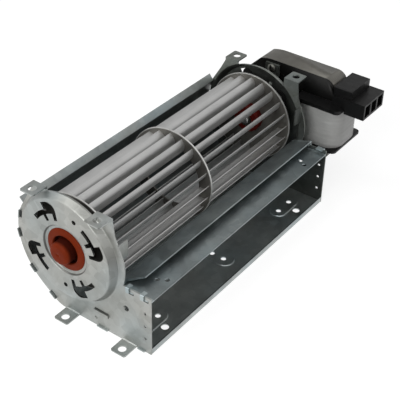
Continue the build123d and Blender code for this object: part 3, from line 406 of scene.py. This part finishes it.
def galvanised_sheet(finishes, name, colour, streak_axis, mask, masked):
    """Hot dip galvanised steel, cold formed: grey spangle grains a few millimetres wide, each with its own
    brightness and gloss, with faint rolling streaks and a fine zinc grain. Where the mask is 1, the
    colour is multiplied by masked."""
    light, dark = getattr(finishes, colour), getattr(finishes, f"{colour}_dark")
    material, tree, shader, place = start_material(name, light, 0.42, 0.85)
    # In mm: clouds, passivation veil, rolling streaks, and zinc grain, drawn as coarse as it needs to show
    cloud_size, veil_size, streak_length, streak_width, grain_size = 22.2, 45.5, 40.0, 1.11, 0.714
    wobble = add_node(tree, "ShaderNodeTexNoise", inputs={
        "Vector": place, "Scale": 0.6 / finishes.spangle, "Detail": 4.0,
    })
    bent = add_node(tree, "ShaderNodeMix", {"data_type": "VECTOR"}, {
        "Factor": 0.004, "A": place, "B": wobble.outputs["Color"],
    })
    grain = add_node(tree, "ShaderNodeTexVoronoi", inputs={
        "Vector": bent.outputs["Result"], "Scale": 1 / finishes.spangle, "Randomness": 1.0,
    })
    tone = add_node(tree, "ShaderNodeSeparateColor", inputs={"Color": grain.outputs["Color"]})
    streak_sizes = [streak_width] * 3
    streak_sizes[streak_axis] = streak_length
    streak_place = add_node(tree, "ShaderNodeMapping", inputs={
        "Vector": place, "Scale": per_metre(*streak_sizes),
    })
    streak = add_node(tree, "ShaderNodeTexNoise", inputs={
        "Vector": streak_place.outputs["Vector"], "Scale": 1.0, "Detail": 3.0,
    })
    cloud = add_node(tree, "ShaderNodeTexNoise", inputs={
        "Vector": place, "Scale": 1 / (cloud_size * MM), "Detail": 5.0,
    })
    blend = add_node(tree, "ShaderNodeMath", {"operation": "MULTIPLY_ADD"}, {
        0: tone.outputs["Red"], 1: 0.22, 2: cloud.outputs["Fac"],
    })
    shade = add_node(tree, "ShaderNodeMapRange", inputs={
        "Value": blend.outputs["Value"], "From Min": 0.35, "From Max": 0.85, "To Min": 0.0, "To Max": 1.0,
    })
    grains = add_node(tree, "ShaderNodeMix", {"data_type": "RGBA"}, {
        "Factor": shade.outputs["Result"], "A": (*dark, 1), "B": (*light, 1),
    })
    veil = add_node(tree, "ShaderNodeTexNoise", inputs={
        "Vector": place, "Scale": 1 / (veil_size * MM), "Detail": 2.0,
    })
    amount = add_node(tree, "ShaderNodeMapRange", inputs={
        "Value": veil.outputs["Fac"], "From Min": 0.45, "From Max": 0.7, "To Min": 0.0, "To Max": 0.8,
    })
    clouded = add_node(tree, "ShaderNodeMix", MULTIPLY, {
        "Factor": amount.outputs["Result"], "A": grains.outputs["Result"], "B": (*finishes.passivation, 1),
    })
    # Where the mask is 1 the colour is darkened as painted shade, and on the tongue's tab heads lightened as
    # painted highlight
    painted_light_tone = add_node(tree, "ShaderNodeMix", MULTIPLY, {
        "Factor": mask(tree, place), "A": clouded.outputs["Result"], "B": (masked, masked, masked, 1),
    })
    link_in(tree, painted_light_tone.outputs["Result"], shader, "Base Color")
    gloss = add_node(tree, "ShaderNodeMapRange", inputs={
        "Value": tone.outputs["Green"], "From Min": 0.0, "From Max": 1.0, "To Min": 0.34, "To Max": 0.48,
    })
    link_in(tree, gloss.outputs["Result"], shader, "Roughness")
    fine = add_node(tree, "ShaderNodeTexNoise", inputs={
        "Vector": place, "Scale": 1 / (grain_size * MM), "Detail": 2.0,
    })
    height = add_node(tree, "ShaderNodeMath", {"operation": "MULTIPLY_ADD"}, {
        0: streak.outputs["Fac"], 1: 0.6, 2: fine.outputs["Fac"],
    })
    bump = add_node(tree, "ShaderNodeBump", inputs={
        "Height": height.outputs["Value"], "Strength": 0.12, "Distance": 0.0002,
    })
    link_in(tree, bump.outputs["Normal"], shader, "Normal")
    return material


def rolled_sheet(finishes):
    """Aluminised steel strip, roll formed: satin warm grey with long fine lines along the blades."""
    material, tree, shader, place = start_material("aluminised_rolled_strip", finishes.impeller, 0.45, 0.75)
    # Rolling lines in mm, drawn coarser than the rolls leave them, so that they show
    line_length, line_width = 83.3, 0.625
    lines_place = add_node(tree, "ShaderNodeMapping", inputs={
        "Vector": place, "Scale": per_metre(line_length, line_width, line_width),
    })
    lines = add_node(tree, "ShaderNodeTexNoise", inputs={
        "Vector": lines_place.outputs["Vector"], "Scale": 1.0, "Detail": 3.0,
    })
    cloud_size = 16.7 * MM
    cloud = add_node(tree, "ShaderNodeTexNoise", inputs={
        "Vector": place, "Scale": 1 / cloud_size, "Detail": 4.0,
    })
    mix = add_node(tree, "ShaderNodeMath", {"operation": "MULTIPLY_ADD"}, {
        0: lines.outputs["Fac"], 1: 0.5, 2: cloud.outputs["Fac"],
    })
    shade = add_node(tree, "ShaderNodeMapRange", inputs={
        "Value": mix.outputs["Value"], "From Min": 0.4, "From Max": 1.1, "To Min": 0.80, "To Max": 1.0,
    })
    colour = add_node(tree, "ShaderNodeMix", MULTIPLY, {
        "Factor": 1.0, "A": (*finishes.impeller, 1), "B": shade.outputs["Result"],
    })
    link_in(tree, colour.outputs["Result"], shader, "Base Color")
    bump = add_node(tree, "ShaderNodeBump", inputs={
        "Height": lines.outputs["Fac"], "Strength": 0.15, "Distance": 0.0001,
    })
    link_in(tree, bump.outputs["Normal"], shader, "Normal")
    return material


def punched_disc(finishes):
    """Punched steel disc: grey face darkened as painted shade, and a bright rim as painted highlight where
    the shear left the edge.
    """
    material, tree, shader, place = start_material("punched_disc_steel", finishes.disc, 0.45, 0.8)
    face_end, rim_start = 31.8 * MM, 32.3 * MM
    rim_highlight = add_node(tree, "ShaderNodeMapRange", inputs={
        "Value": axis_radius(tree, place), "From Min": face_end, "From Max": rim_start,
    })
    oil_size = 9.09 * MM
    _, shade = cloudy_level(tree, place, oil_size, 4.0, 0.8, 1.0)
    face = add_node(tree, "ShaderNodeMix", MULTIPLY, {"Factor": 1.0, "A": (*finishes.disc, 1), "B": shade})
    colour = add_node(tree, "ShaderNodeMix", {"data_type": "RGBA"}, {
        "Factor": rim_highlight.outputs["Result"], "A": face.outputs["Result"], "B": (*finishes.plating, 1),
    })
    link_in(tree, colour.outputs["Result"], shader, "Base Color")
    return material


def moulded_rubber(name, tint, roughness, grit, mask=None):
    """Moulded rubber: even colour, little gloss, faint dusting and a fine matt mould texture, whose grit is
    drawn as coarse as it needs to show. The mask's part is darkened as painted shade."""
    material, tree, shader, place = start_material(name, tint, roughness)
    shader.inputs["Specular IOR Level"].default_value = 0.08
    dust_size = 5.56 * MM
    _, shade = cloudy_level(tree, place, dust_size, 4.0, 0.84, 1.04)
    colour = add_node(tree, "ShaderNodeMix", MULTIPLY, {"Factor": 1.0, "A": (*tint, 1), "B": shade})
    # Painted shade: the mask's part is multiplied by a dark red grey
    if mask:
        colour = add_node(tree, "ShaderNodeMix", MULTIPLY, {
            "Factor": mask(tree, place), "A": colour.outputs["Result"], "B": (0.22, 0.16, 0.16, 1),
        })
    link_in(tree, colour.outputs["Result"], shader, "Base Color")
    fine = add_node(tree, "ShaderNodeTexNoise", inputs={"Vector": place, "Scale": 1 / grit, "Detail": 2.0})
    bump = add_node(tree, "ShaderNodeBump", inputs={
        "Height": fine.outputs["Fac"], "Strength": 0.2, "Distance": 0.0002,
    })
    link_in(tree, bump.outputs["Normal"], shader, "Normal")
    return material


def varnished_stack(finishes):
    """Punched electrical sheets, stacked and varnished: grey brown sheared edges as fine lines, and outer
    faces that are nearly black as painted shade."""
    edge = finishes.lamination
    material, tree, shader, place = start_material("varnished_core_laminations", edge, 0.4, 0.45)
    shader.inputs["Specular IOR Level"].default_value = 0.25
    # The wave repeats every 2 pi / 20, and a band covers two sheets, because one is too fine to show
    bands = add_node(tree, "ShaderNodeTexWave", {"wave_type": "BANDS", "bands_direction": "X"}, {
        "Vector": place, "Scale": pi / (20 * finishes.lamination_pitch), "Distortion": 0.0,
    })
    varnish_size = 8.33 * MM      # clouds in the varnish
    cloud = add_node(tree, "ShaderNodeTexNoise", inputs={
        "Vector": place, "Scale": 1 / varnish_size, "Detail": 5.0,
    })
    mix = add_node(tree, "ShaderNodeMath", {"operation": "MULTIPLY_ADD"}, {
        0: bands.outputs["Fac"], 1: 0.35, 2: cloud.outputs["Fac"],
    })
    shade = add_node(tree, "ShaderNodeMapRange", inputs={
        "Value": mix.outputs["Value"], "From Min": 0.3, "From Max": 1.0, "To Min": 0.62, "To Max": 1.05,
    })
    edges = add_node(tree, "ShaderNodeMix", MULTIPLY, {
        "Factor": 1.0, "A": (*edge, 1), "B": shade.outputs["Result"],
    })
    # Painted shade: the core's outer faces nearly black
    blued = add_node(tree, "ShaderNodeMix", MULTIPLY, {
        "Factor": 1.0, "A": (*finishes.blued, 1), "B": shade.outputs["Result"],
    })
    along = add_node(tree, "ShaderNodeSeparateXYZ", inputs={"Vector": place})
    from_middle = add_node(tree, "ShaderNodeMath", {"operation": "SUBTRACT"}, {
        0: along.outputs["X"], 1: (CORE_FRONT + CORE_BACK) / 2,
    })
    half = add_node(tree, "ShaderNodeMath", {"operation": "ABSOLUTE"}, {0: from_middle.outputs["Value"]})
    face = add_node(tree, "ShaderNodeMath", {"operation": "GREATER_THAN"}, {
        0: half.outputs["Value"], 1: (CORE_BACK - CORE_FRONT) / 2 - 0.02 * MM,
    })
    colour = add_node(tree, "ShaderNodeMix", {"data_type": "RGBA"}, {
        "Factor": face.outputs["Value"], "A": edges.outputs["Result"], "B": blued.outputs["Result"],
    })
    link_in(tree, colour.outputs["Result"], shader, "Base Color")
    bump = add_node(tree, "ShaderNodeBump", inputs={
        "Height": bands.outputs["Fac"], "Strength": 0.5, "Distance": 0.0001,
    })
    link_in(tree, bump.outputs["Normal"], shader, "Normal")
    return material


def moulded_nylon(finishes):
    """Glass filled nylon, injection moulded: near black with a low gloss and a fine spark eroded grain."""
    material, tree, shader, place = start_material("moulded_black_nylon", finishes.nylon, 0.42)
    shader.inputs["Specular IOR Level"].default_value = 0.22
    gloss_size = 3.85 * MM
    grain_size = 0.4545 * MM      # the mould's grain is finer, and is drawn as coarse as it needs to show
    _, gloss = cloudy_level(tree, place, gloss_size, 4.0, 0.34, 0.52)
    link_in(tree, gloss, shader, "Roughness")
    fine = add_node(tree, "ShaderNodeTexNoise", inputs={
        "Vector": place, "Scale": 1 / grain_size, "Detail": 1.0,
    })
    bump = add_node(tree, "ShaderNodeBump", inputs={
        "Height": fine.outputs["Fac"], "Strength": 0.2, "Distance": 0.0001,
    })
    link_in(tree, bump.outputs["Normal"], shader, "Normal")
    return material


def polyester_tape(finishes):
    """Polyester winding tape: white and smooth, with soft creases where it is pulled round the coil."""
    material, tree, shader, place = start_material("white_polyester_tape", finishes.tape, 0.42)
    shader.inputs["Coat Weight"].default_value = 0.1
    shader.inputs["Coat Roughness"].default_value = 0.3
    crease_length, crease_width = 16.7, 2.38      # in mm
    crease_place = add_node(tree, "ShaderNodeMapping", inputs={
        "Vector": place, "Scale": per_metre(crease_length, crease_length, crease_width),
    })
    crease, shade = cloudy_level(tree, crease_place.outputs["Vector"], 1.0, 4.0, 0.86, 1.0)
    colour = add_node(tree, "ShaderNodeMix", MULTIPLY, {"Factor": 1.0, "A": (*finishes.tape, 1), "B": shade})
    link_in(tree, colour.outputs["Result"], shader, "Base Color")
    bump = add_node(tree, "ShaderNodeBump", inputs={"Height": crease, "Strength": 0.35, "Distance": 0.0004})
    link_in(tree, bump.outputs["Normal"], shader, "Normal")
    return material


def turned_metal(name, tint, roughness, metallic=1.0):
    """Machined metal: fine rings round the shaft axis left by turning or grinding."""
    material, tree, shader, place = start_material(name, tint, roughness, metallic)
    ring_width, ring_length = 0.1111, 25.0        # in mm
    rings_place = add_node(tree, "ShaderNodeMapping", inputs={
        "Vector": place, "Scale": per_metre(ring_width, ring_length, ring_length),
    })
    rings, gloss = cloudy_level(tree, rings_place.outputs["Vector"], 1.0, 2.0,
                                roughness - 0.06, roughness + 0.1)
    link_in(tree, gloss, shader, "Roughness")
    bump = add_node(tree, "ShaderNodeBump", inputs={"Height": rings, "Strength": 0.1, "Distance": 0.0001})
    link_in(tree, bump.outputs["Normal"], shader, "Normal")
    return material


def wound_copper(finishes):
    """Enamelled copper wire, wound in layers: warm metal with the turns as fine ridges."""
    material, tree, shader, place = start_material("enamelled_copper", finishes.copper, 0.32, 0.9)
    wire = 0.628 * MM
    # The wave repeats every 2 pi / 20, so each of its bands is one wire
    turns = add_node(tree, "ShaderNodeTexWave", {"wave_type": "BANDS", "bands_direction": "Z"}, {
        "Vector": place, "Scale": 2 * pi / (20 * wire), "Distortion": 0.4,
    })
    bump = add_node(tree, "ShaderNodeBump", inputs={
        "Height": turns.outputs["Fac"], "Strength": 0.6, "Distance": 0.0002,
    })
    link_in(tree, bump.outputs["Normal"], shader, "Normal")
    return material


# Galvanised sheets: material, colour setting, axis of the streaks, mask, tone in the mask, nodes; the masks
# paint shade, and the tongue's mask paints a highlight on its tab heads
GALVANISED_SHEETS = (
    ("galvanised_pressed_plate", "plate", 2, painted_plate_shade, 0.12, ["bearing_end_plate"]),
    ("galvanised_rolled_scroll", "scroll", 0, painted_scroll_shade, 0.45, ["scroll_casing"]),
    ("galvanised_folded_tongue", "tongue", 0, painted_tab_highlight, 1.6, ["vortex_tongue"]),
    ("galvanised_motor_plate", "far_plate", 2, painted_drum_side_shade, 0.45,
     ["motor_end_plate", "front_bracket", "rear_bracket"]),
)


def dress(material, *nodes):
    """Gives CAD nodes one material."""
    for node in nodes:
        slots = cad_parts[node].data.materials
        slots.clear()
        slots.append(material)


def link_object(shape, name):
    """Makes an object of a bmesh and frees the bmesh."""
    mesh = bpy.data.meshes.new(name)
    shape.to_mesh(mesh)
    shape.free()
    thing = bpy.data.objects.new(name, mesh)
    bpy.context.scene.collection.objects.link(thing)
    return thing


def add_piece(shape, name, body, material, node):
    """Makes a piece of a bmesh; it moves with a body and stands in for a CAD node."""
    piece = link_object(shape, name)
    piece.data.set_sharp_from_angle(angle=radians(40))
    piece.data.materials.append(material)
    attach(piece, body)
    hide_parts(node)
    return piece


def copy_node(node):
    """Copy of a CAD node's mesh with its doubles merged."""
    shape = bmesh.new()
    shape.from_mesh(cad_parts[node].data)
    bmesh.ops.remove_doubles(shape, verts=shape.verts, dist=SAME_POINT)
    return shape


def turned_ring(shape, profile, start, way, centre=(AXIS_Y, AXIS_Z), steps=96):
    """Spins a profile of (distance along X, radius) a full turn about an axis that runs along X."""
    y, z = centre
    verts = [shape.verts.new((start + way * along * MM, y, z + radius * MM)) for along, radius in profile]
    edges = [shape.edges.new(pair) for pair in zip(verts, verts[1:])]
    bmesh.ops.spin(shape, geom=verts + edges, cent=(0, y, z), axis=(1, 0, 0), angle=2 * pi, steps=steps,
                   use_merge=True)
    bmesh.ops.remove_doubles(shape, verts=shape.verts, dist=SAME_POINT)
    bmesh.ops.recalc_face_normals(shape, faces=shape.faces)
    for face in shape.faces:
        face.smooth = True


def join(shape, part):
    """Adds one bmesh to another."""
    mesh = bpy.data.meshes.new("part")
    part.to_mesh(mesh)
    part.free()
    shape.from_mesh(mesh)
    bpy.data.meshes.remove(mesh)


def slotted_screw(shape, fittings, head_x, end_x, centre):
    """Pan head with a driver slot, and a shank that runs along +X to a threaded end."""
    length = (end_x - head_x) / MM
    pitch = fittings.thread_pitch / MM
    thread = []
    for turn in range(THREAD_TURNS):
        crest = length - TIP_LENGTH - (THREAD_TURNS - turn) * pitch
        thread += [(crest, SHANK_RADIUS), (crest + pitch / 2, THREAD_ROOT)]
    tip = zip((length - TIP_LENGTH, length, length), (*TIP_RADII, 0))
    profile = [*PAN_HEAD, (0, SHANK_RADIUS), *thread, *tip]
    part = bmesh.new()
    turned_ring(part, profile, head_x, 1, centre, 32)
    half_slot = fittings.slot_width / 2
    for side in (-1, 1):
        geometry = part.verts[:] + part.edges[:] + part.faces[:]
        bmesh.ops.bisect_plane(part, geom=geometry, dist=SAME_POINT, plane_no=(0, 1, 0),
                               plane_co=(0, centre[0] + side * half_slot, 0))
    slot = []
    for face in part.faces:
        middle = face.calc_center_median()
        on_head = middle.x < head_x - SLOT_TOP and face.normal.x < -0.3
        if on_head and abs(middle.y - centre[0]) < half_slot:
            slot.append(face)
    sunk = bmesh.ops.extrude_face_region(part, geom=slot)["geom"]
    for item in sunk:
        if isinstance(item, bmesh.types.BMVert):
            item.co.x = head_x - SLOT_FLOOR
    bmesh.ops.delete(part, geom=slot, context="FACES")
    bmesh.ops.recalc_face_normals(part, faces=part.faces)
    join(shape, part)


def hexagon_nut(shape, fittings, near_x, centre):
    """Hexagon nut with its outer corners chamfered."""
    part = bmesh.new()
    radius, height = fittings.nut_radius, fittings.nut_height
    bmesh.ops.create_cone(part, cap_ends=True, segments=6, radius1=radius, radius2=radius, depth=height)
    turn = Matrix.Rotation(pi / 2, 4, "Y")
    place = Matrix.Translation((near_x + height / 2, *centre))
    bmesh.ops.transform(part, matrix=place @ turn, verts=part.verts)
    outer = [edge for edge in part.edges if min(vert.co.x for vert in edge.verts) > near_x + 0.9 * height]
    bmesh.ops.bevel(part, geom=outer, offset=fittings.nut_chamfer, affect="EDGES", segments=1, profile=0.5,
                    material=-1)
    join(shape, part)


def wound_tape(shape, fittings):
    """Tape wound round the coil in turns, each with a soft dip at its edge."""
    low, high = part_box("coil_tape")
    size, middle = high - low, (high + low) / 2
    bmesh.ops.create_grid(shape, x_segments=1, y_segments=1, size=0.5)
    bmesh.ops.scale(shape, vec=(size.x, size.y, 1), verts=shape.verts)
    bmesh.ops.bevel(shape, geom=shape.verts[:], offset=fittings.tape_corner, affect="VERTICES", segments=12,
                    profile=0.5, material=-1)
    bmesh.ops.translate(shape, vec=(middle.x, middle.y, low.z), verts=shape.verts)
    top = shape.faces[:]
    widths = (0.990, 0.998, 1.0, 0.998)      # at each quarter of a turn, from edge to edge
    quarters = fittings.tape_turns * len(widths)
    before = 1.0
    for step in range(quarters):
        width = widths[(step + 1) % len(widths)]
        lifted = bmesh.ops.extrude_face_region(shape, geom=top)["geom"]
        top = [item for item in lifted if isinstance(item, bmesh.types.BMFace)]
        verts = [item for item in lifted if isinstance(item, bmesh.types.BMVert)]
        bmesh.ops.translate(shape, vec=(0, 0, size.z / quarters), verts=verts)
        bmesh.ops.scale(shape, vec=(width / before, width / before, 1), verts=verts,
                        space=Matrix.Translation(-middle))
        before = width
    cap_area = 100 * MM * MM
    caps = [face for face in shape.faces if abs(face.normal.z) > 0.9 and face.calc_area() > cap_area]
    bmesh.ops.delete(shape, geom=caps, context="FACES_ONLY")
    bmesh.ops.recalc_face_normals(shape, faces=shape.faces)
    bmesh.ops.solidify(shape, geom=shape.faces[:], thickness=fittings.tape_wall)
    for face in shape.faces:
        face.smooth = True


def cut_back_corners(shape):
    """Cuts the core's round back to a flat with two broad chamfers, their corners rounded."""
    cuts = [(y, z, radius, angle) for y, z, radius, angles in CORE_CORNERS for angle in angles]
    cuts += [(y, -z, radius, -angle) for y, z, radius, angle in cuts]
    for y, z, radius, angle in [*cuts, CORE_FLAT]:
        way = Vector((0, cos(radians(angle)), sin(radians(angle))))
        place = Vector((0, AXIS_Y + y * MM, AXIS_Z + z * MM)) + way * radius * MM
        geometry = shape.verts[:] + shape.edges[:] + shape.faces[:]
        cut = bmesh.ops.bisect_plane(shape, geom=geometry, dist=SAME_POINT, plane_co=place, plane_no=way,
                                     clear_outer=True)
        edges = [item for item in cut["geom_cut"] if isinstance(item, bmesh.types.BMEdge)]
        bmesh.ops.holes_fill(shape, edges=edges, sides=0)


def area_light(context, name, place, width, power):
    """Soft square lamp aimed at the fan."""
    data = bpy.data.lights.new(name, "AREA")
    data.shape = "SQUARE"
    data.size = width
    data.energy = power
    lamp = bpy.data.objects.new(name, data)
    context.scene.collection.objects.link(lamp)
    way = Vector(LIT_POINT) - Vector(place)
    lamp.matrix_world = Matrix.Translation(place) @ way.to_track_quat("-Z", "Y").to_matrix().to_4x4()


def stage_sheet(name, finish, half_size, matrix):
    """Square sheet of the stage; returns it with the empty node tree of its material."""
    shape = bmesh.new()
    bmesh.ops.create_grid(shape, x_segments=1, y_segments=1, size=half_size)
    bmesh.ops.transform(shape, matrix=matrix, verts=shape.verts)
    sheet = link_object(shape, name)
    material = bpy.data.materials.new(finish)
    sheet.data.materials.append(material)
    return sheet, empty_tree(material)


def reflection_card(name, place, target, half_size, grey):
    """Grey card that only reflections see, so that flat zinc shows depth."""
    turn = (Vector(target) - Vector(place)).to_track_quat("Z", "Y").to_matrix().to_4x4()
    card, tree = stage_sheet(name, f"{name}_grey", half_size, Matrix.Translation(place) @ turn)
    card.visible_camera = False
    card.visible_diffuse = False
    card.visible_shadow = False
    glow = add_node(tree, "ShaderNodeEmission", inputs={"Color": (grey, grey, grey, 1), "Strength": 1.0})
    add_node(tree, "ShaderNodeOutputMaterial", inputs={"Surface": glow.outputs["Emission"]})


def seen_by(tree, *rays):
    """Mask that is 1 for rays of the kinds named, such as Is Camera Ray."""
    path = add_node(tree, "ShaderNodeLightPath")
    seen = path.outputs[rays[0]]
    for ray in rays[1:]:
        seen = add_node(tree, "ShaderNodeMath", {"operation": "MAXIMUM"}, {
            0: seen, 1: path.outputs[ray],
        }).outputs["Value"]
    return seen


def pale_floor():
    """Floor that takes the fan's shadow and looks pale near it, and white further off, to the camera and in
    the metal."""
    near, far, half_width = 0.4, 1.4, 3.0
    below = Matrix.Translation((0, 0, cad_low.z - 0.2 * MM))
    _, tree = stage_sheet("floor", "pale_studio_floor", half_width, below)
    bare = add_node(tree, "ShaderNodeBsdfDiffuse", inputs={"Color": (0.8, 0.8, 0.8, 1)})
    dim = add_node(tree, "ShaderNodeBsdfDiffuse", inputs={"Color": (0.3, 0.3, 0.3, 1)})
    spot = add_node(tree, "ShaderNodeTexCoord").outputs["Object"]
    away = add_node(tree, "ShaderNodeVectorMath", {"operation": "LENGTH"}, {0: spot})
    level = add_node(tree, "ShaderNodeMapRange", SMOOTH, {
        "Value": away.outputs["Value"], "From Min": near, "From Max": far, "To Min": 0.86, "To Max": 1.0,
    })
    glow = add_node(tree, "ShaderNodeEmission", inputs={
        "Color": (1, 1, 1, 1), "Strength": level.outputs["Result"],
    })
    lit = add_node(tree, "ShaderNodeAddShader", inputs={0: dim.outputs["BSDF"], 1: glow.outputs["Emission"]})
    seen = seen_by(tree, "Is Camera Ray", "Is Glossy Ray")
    mix = add_node(tree, "ShaderNodeMixShader", inputs={
        "Fac": seen, 1: bare.outputs["BSDF"], 2: lit.outputs["Shader"],
    })
    add_node(tree, "ShaderNodeOutputMaterial", inputs={"Surface": mix.outputs["Shader"]})


def white_surroundings(context, ambient):
    """World that looks white to the camera and in the metal, and lights the fan at the ambient level."""
    world = bpy.data.worlds.new("studio")
    context.scene.world = world
    tree = empty_tree(world)
    strength = add_node(tree, "ShaderNodeMapRange", inputs={
        "Value": seen_by(tree, "Is Camera Ray", "Is Glossy Ray", "Is Transmission Ray"),
        "To Min": ambient, "To Max": 1.0,
    })
    sky = add_node(tree, "ShaderNodeBackground", inputs={
        "Color": (1, 1, 1, 1), "Strength": strength.outputs["Result"],
    })
    add_node(tree, "ShaderNodeOutputWorld", inputs={"Surface": sky.outputs["Background"]})


class FAN_OT_camera(bpy.types.Operator):
    """Sets the camera where the fan is seen from above its bearing end"""
    bl_idname = "fan.camera"
    bl_label = "Camera"

    def execute(self, context):
        stage = context.scene.fan_stage
        data = bpy.data.cameras.new("camera")
        data.sensor_width = 36.0
        data.lens = stage.lens
        data.clip_start = 0.01
        data.clip_end = 20.0
        camera = bpy.data.objects.new("camera", data)
        context.scene.collection.objects.link(camera)
        turn = Matrix.Rotation(stage.azimuth, 4, "Z") @ Matrix.Rotation(pi / 2 - stage.elevation, 4, "X")
        turn = turn @ Matrix.Rotation(stage.roll, 4, "Z")
        camera.matrix_world = Matrix.Translation(CAMERA_PLACE) @ turn
        context.scene.camera = camera
        return {"FINISHED"}


class FAN_OT_stage(bpy.types.Operator):
    """Makes the pale floor, the white surroundings and the soft studio light"""
    bl_idname = "fan.stage"
    bl_label = "Stage"

    def execute(self, context):
        stage = context.scene.fan_stage
        context.scene.view_settings.view_transform = "Standard"
        pale_floor()
        white_surroundings(context, stage.ambient)
        for name, place, width in LAMPS:
            area_light(context, name, place, width, getattr(stage, name))
        for card in CARDS:
            reflection_card(*card)
        return {"FINISHED"}


class FAN_OT_casing(bpy.types.Operator):
    """Gives end plates, scroll, tongue and motor brackets their galvanised finish"""
    bl_idname = "fan.casing"
    bl_label = "Casing finish"

    def execute(self, context):
        finishes = context.scene.fan_finishes
        for name, colour, streak_axis, mask, masked, nodes in GALVANISED_SHEETS:
            dress(galvanised_sheet(finishes, name, colour, streak_axis, mask, masked), *nodes)
        return {"FINISHED"}


class FAN_OT_impeller(bpy.types.Operator):
    """Gives blades, discs, hub cushion, shafts and bearings their finish"""
    bl_idname = "fan.impeller"
    bl_label = "Impeller finish"

    def execute(self, context):
        finishes = context.scene.fan_finishes
        dress(rolled_sheet(finishes), "impeller_blades")
        dress(punched_disc(finishes), "impeller_disc_bearing_end", "impeller_ring_middle",
              "impeller_disc_motor_end")
        dress(moulded_rubber("dark_red_silicone_rubber", finishes.cushion, 0.55, 0.8 * MM), "hub_cushion")
        dress(turned_metal("ground_shaft_steel", finishes.steel, 0.26),
              "stub_shaft", "motor_shaft", "motor_rotor", "mount_sleeves")
        dress(turned_metal("oiled_sleeve_steel", finishes.phosphate, 0.4), "hub_sleeve")
        dress(turned_metal("sintered_bronze", finishes.bronze, 0.4), "stub_bearing", "motor_bearings")
        return {"FINISHED"}


class FAN_OT_bearing_mount(bpy.types.Operator):
    """Makes the silicone bearing mount with its lips and rounded cap"""
    bl_idname = "fan.bearing_mount"
    bl_label = "Silicone bearing mount"

    def execute(self, context):
        tint = context.scene.fan_finishes.silicone
        silicone = moulded_rubber("orange_silicone_rubber", tint, 0.55, 0.8 * MM, painted_groove_shade)
        shape = bmesh.new()
        turned_ring(shape, MOUNT_PROFILE, -HALF_LENGTH, -1)
        add_piece(shape, "silicone_bearing_mount", "casing", silicone,
                  "rubber_bearing_mount")
        return {"FINISHED"}


class FAN_OT_core(bpy.types.Operator):
    """Makes the laminated core with its chamfered back"""
    bl_idname = "fan.core"
    bl_label = "Laminated core"

    def execute(self, context):
        stack = varnished_stack(context.scene.fan_finishes)
        shape = copy_node("motor_core")
        cut_back_corners(shape)
        core = add_piece(shape, "laminated_core", "casing", stack, "motor_core")
        core.modifiers.new("face_weighted_normals", "WEIGHTED_NORMAL").keep_sharp = True
        dress(stack, "coil_leg")
        return {"FINISHED"}


class FAN_OT_tape(bpy.types.Operator):
    """Makes the tape wound round the coil"""
    bl_idname = "fan.tape"
    bl_label = "Coil tape"

    def execute(self, context):
        shape = bmesh.new()
        wound_tape(shape, context.scene.fan_fittings)
        white = polyester_tape(context.scene.fan_finishes)
        add_piece(shape, "wound_coil_tape", "casing", white, "coil_tape")
        return {"FINISHED"}


class FAN_OT_screws(bpy.types.Operator):
    """Makes the slotted screws of brackets and motor mounts with their nuts"""
    bl_idname = "fan.screws"
    bl_label = "Slotted screws"

    def execute(self, context):
        finishes, fittings = context.scene.fan_finishes, context.scene.fan_fittings
        for node, metal, colour, roughness, radius, angle in SCREW_PAIRS:
            low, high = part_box(node)
            shape = bmesh.new()
            for turn in (0, pi):
                around = radians(angle) + turn
                centre = (AXIS_Y + radius * MM * cos(around), AXIS_Z + radius * MM * sin(around))
                slotted_screw(shape, fittings, low.x + HEAD_HEIGHT, high.x, centre)
                hexagon_nut(shape, fittings, high.x - NUT_PLACE, centre)
            steel = turned_metal(metal, getattr(finishes, colour), roughness)
            add_piece(shape, f"slotted_{node}", "casing", steel, node)
        return {"FINISHED"}


class FAN_OT_motor(bpy.types.Operator):
    """Gives bobbin, connector, windings, grommets and terminals their finish"""
    bl_idname = "fan.motor"
    bl_label = "Motor finish"

    def execute(self, context):
        finishes = context.scene.fan_finishes
        dress(moulded_nylon(finishes), "coil_bobbin", "connector_housing")
        dress(wound_copper(finishes), "coil_winding", "shading_rings")
        dress(moulded_rubber("moulded_black_rubber", finishes.black_rubber, 0.6, 0.6 * MM), "mount_grommets")
        dress(turned_metal("tinned_brass", finishes.brass, 0.3), "connector_tabs")
        return {"FINISHED"}


OPERATORS = (
    FAN_OT_camera,
    FAN_OT_stage,
    FAN_OT_casing,
    FAN_OT_impeller,
    FAN_OT_bearing_mount,
    FAN_OT_core,
    FAN_OT_tape,
    FAN_OT_screws,
    FAN_OT_motor,
)


class FAN_PT_panel(bpy.types.Panel):
    """Lists the steps that dress the fan"""
    bl_idname = "FAN_PT_panel"
    bl_label = "Cross flow fan"
    bl_space_type = "VIEW_3D"
    bl_region_type = "UI"
    bl_category = "Fan"

    def draw(self, context):
        for operator in OPERATORS:
            self.layout.operator(operator.bl_idname)


CLASSES = (FanFinishes, FanFittings, FanStage, *OPERATORS, FAN_PT_panel)


def register():
    """Registers the classes and the scene's settings."""
    for item in CLASSES:
        bpy.utils.register_class(item)
    bpy.types.Scene.fan_finishes = PointerProperty(type=FanFinishes)
    bpy.types.Scene.fan_fittings = PointerProperty(type=FanFittings)
    bpy.types.Scene.fan_stage = PointerProperty(type=FanStage)


def unregister():
    """Takes the classes and the scene's settings away again."""
    del bpy.types.Scene.fan_stage
    del bpy.types.Scene.fan_fittings
    del bpy.types.Scene.fan_finishes
    for item in reversed(CLASSES):
        bpy.utils.unregister_class(item)


def main():
    """Dresses the fan."""
    register()
    for operator in OPERATORS:
        group, name = operator.bl_idname.split(".")
        getattr(getattr(bpy.ops, group), name)()


if __name__ == "__main__":
    main()
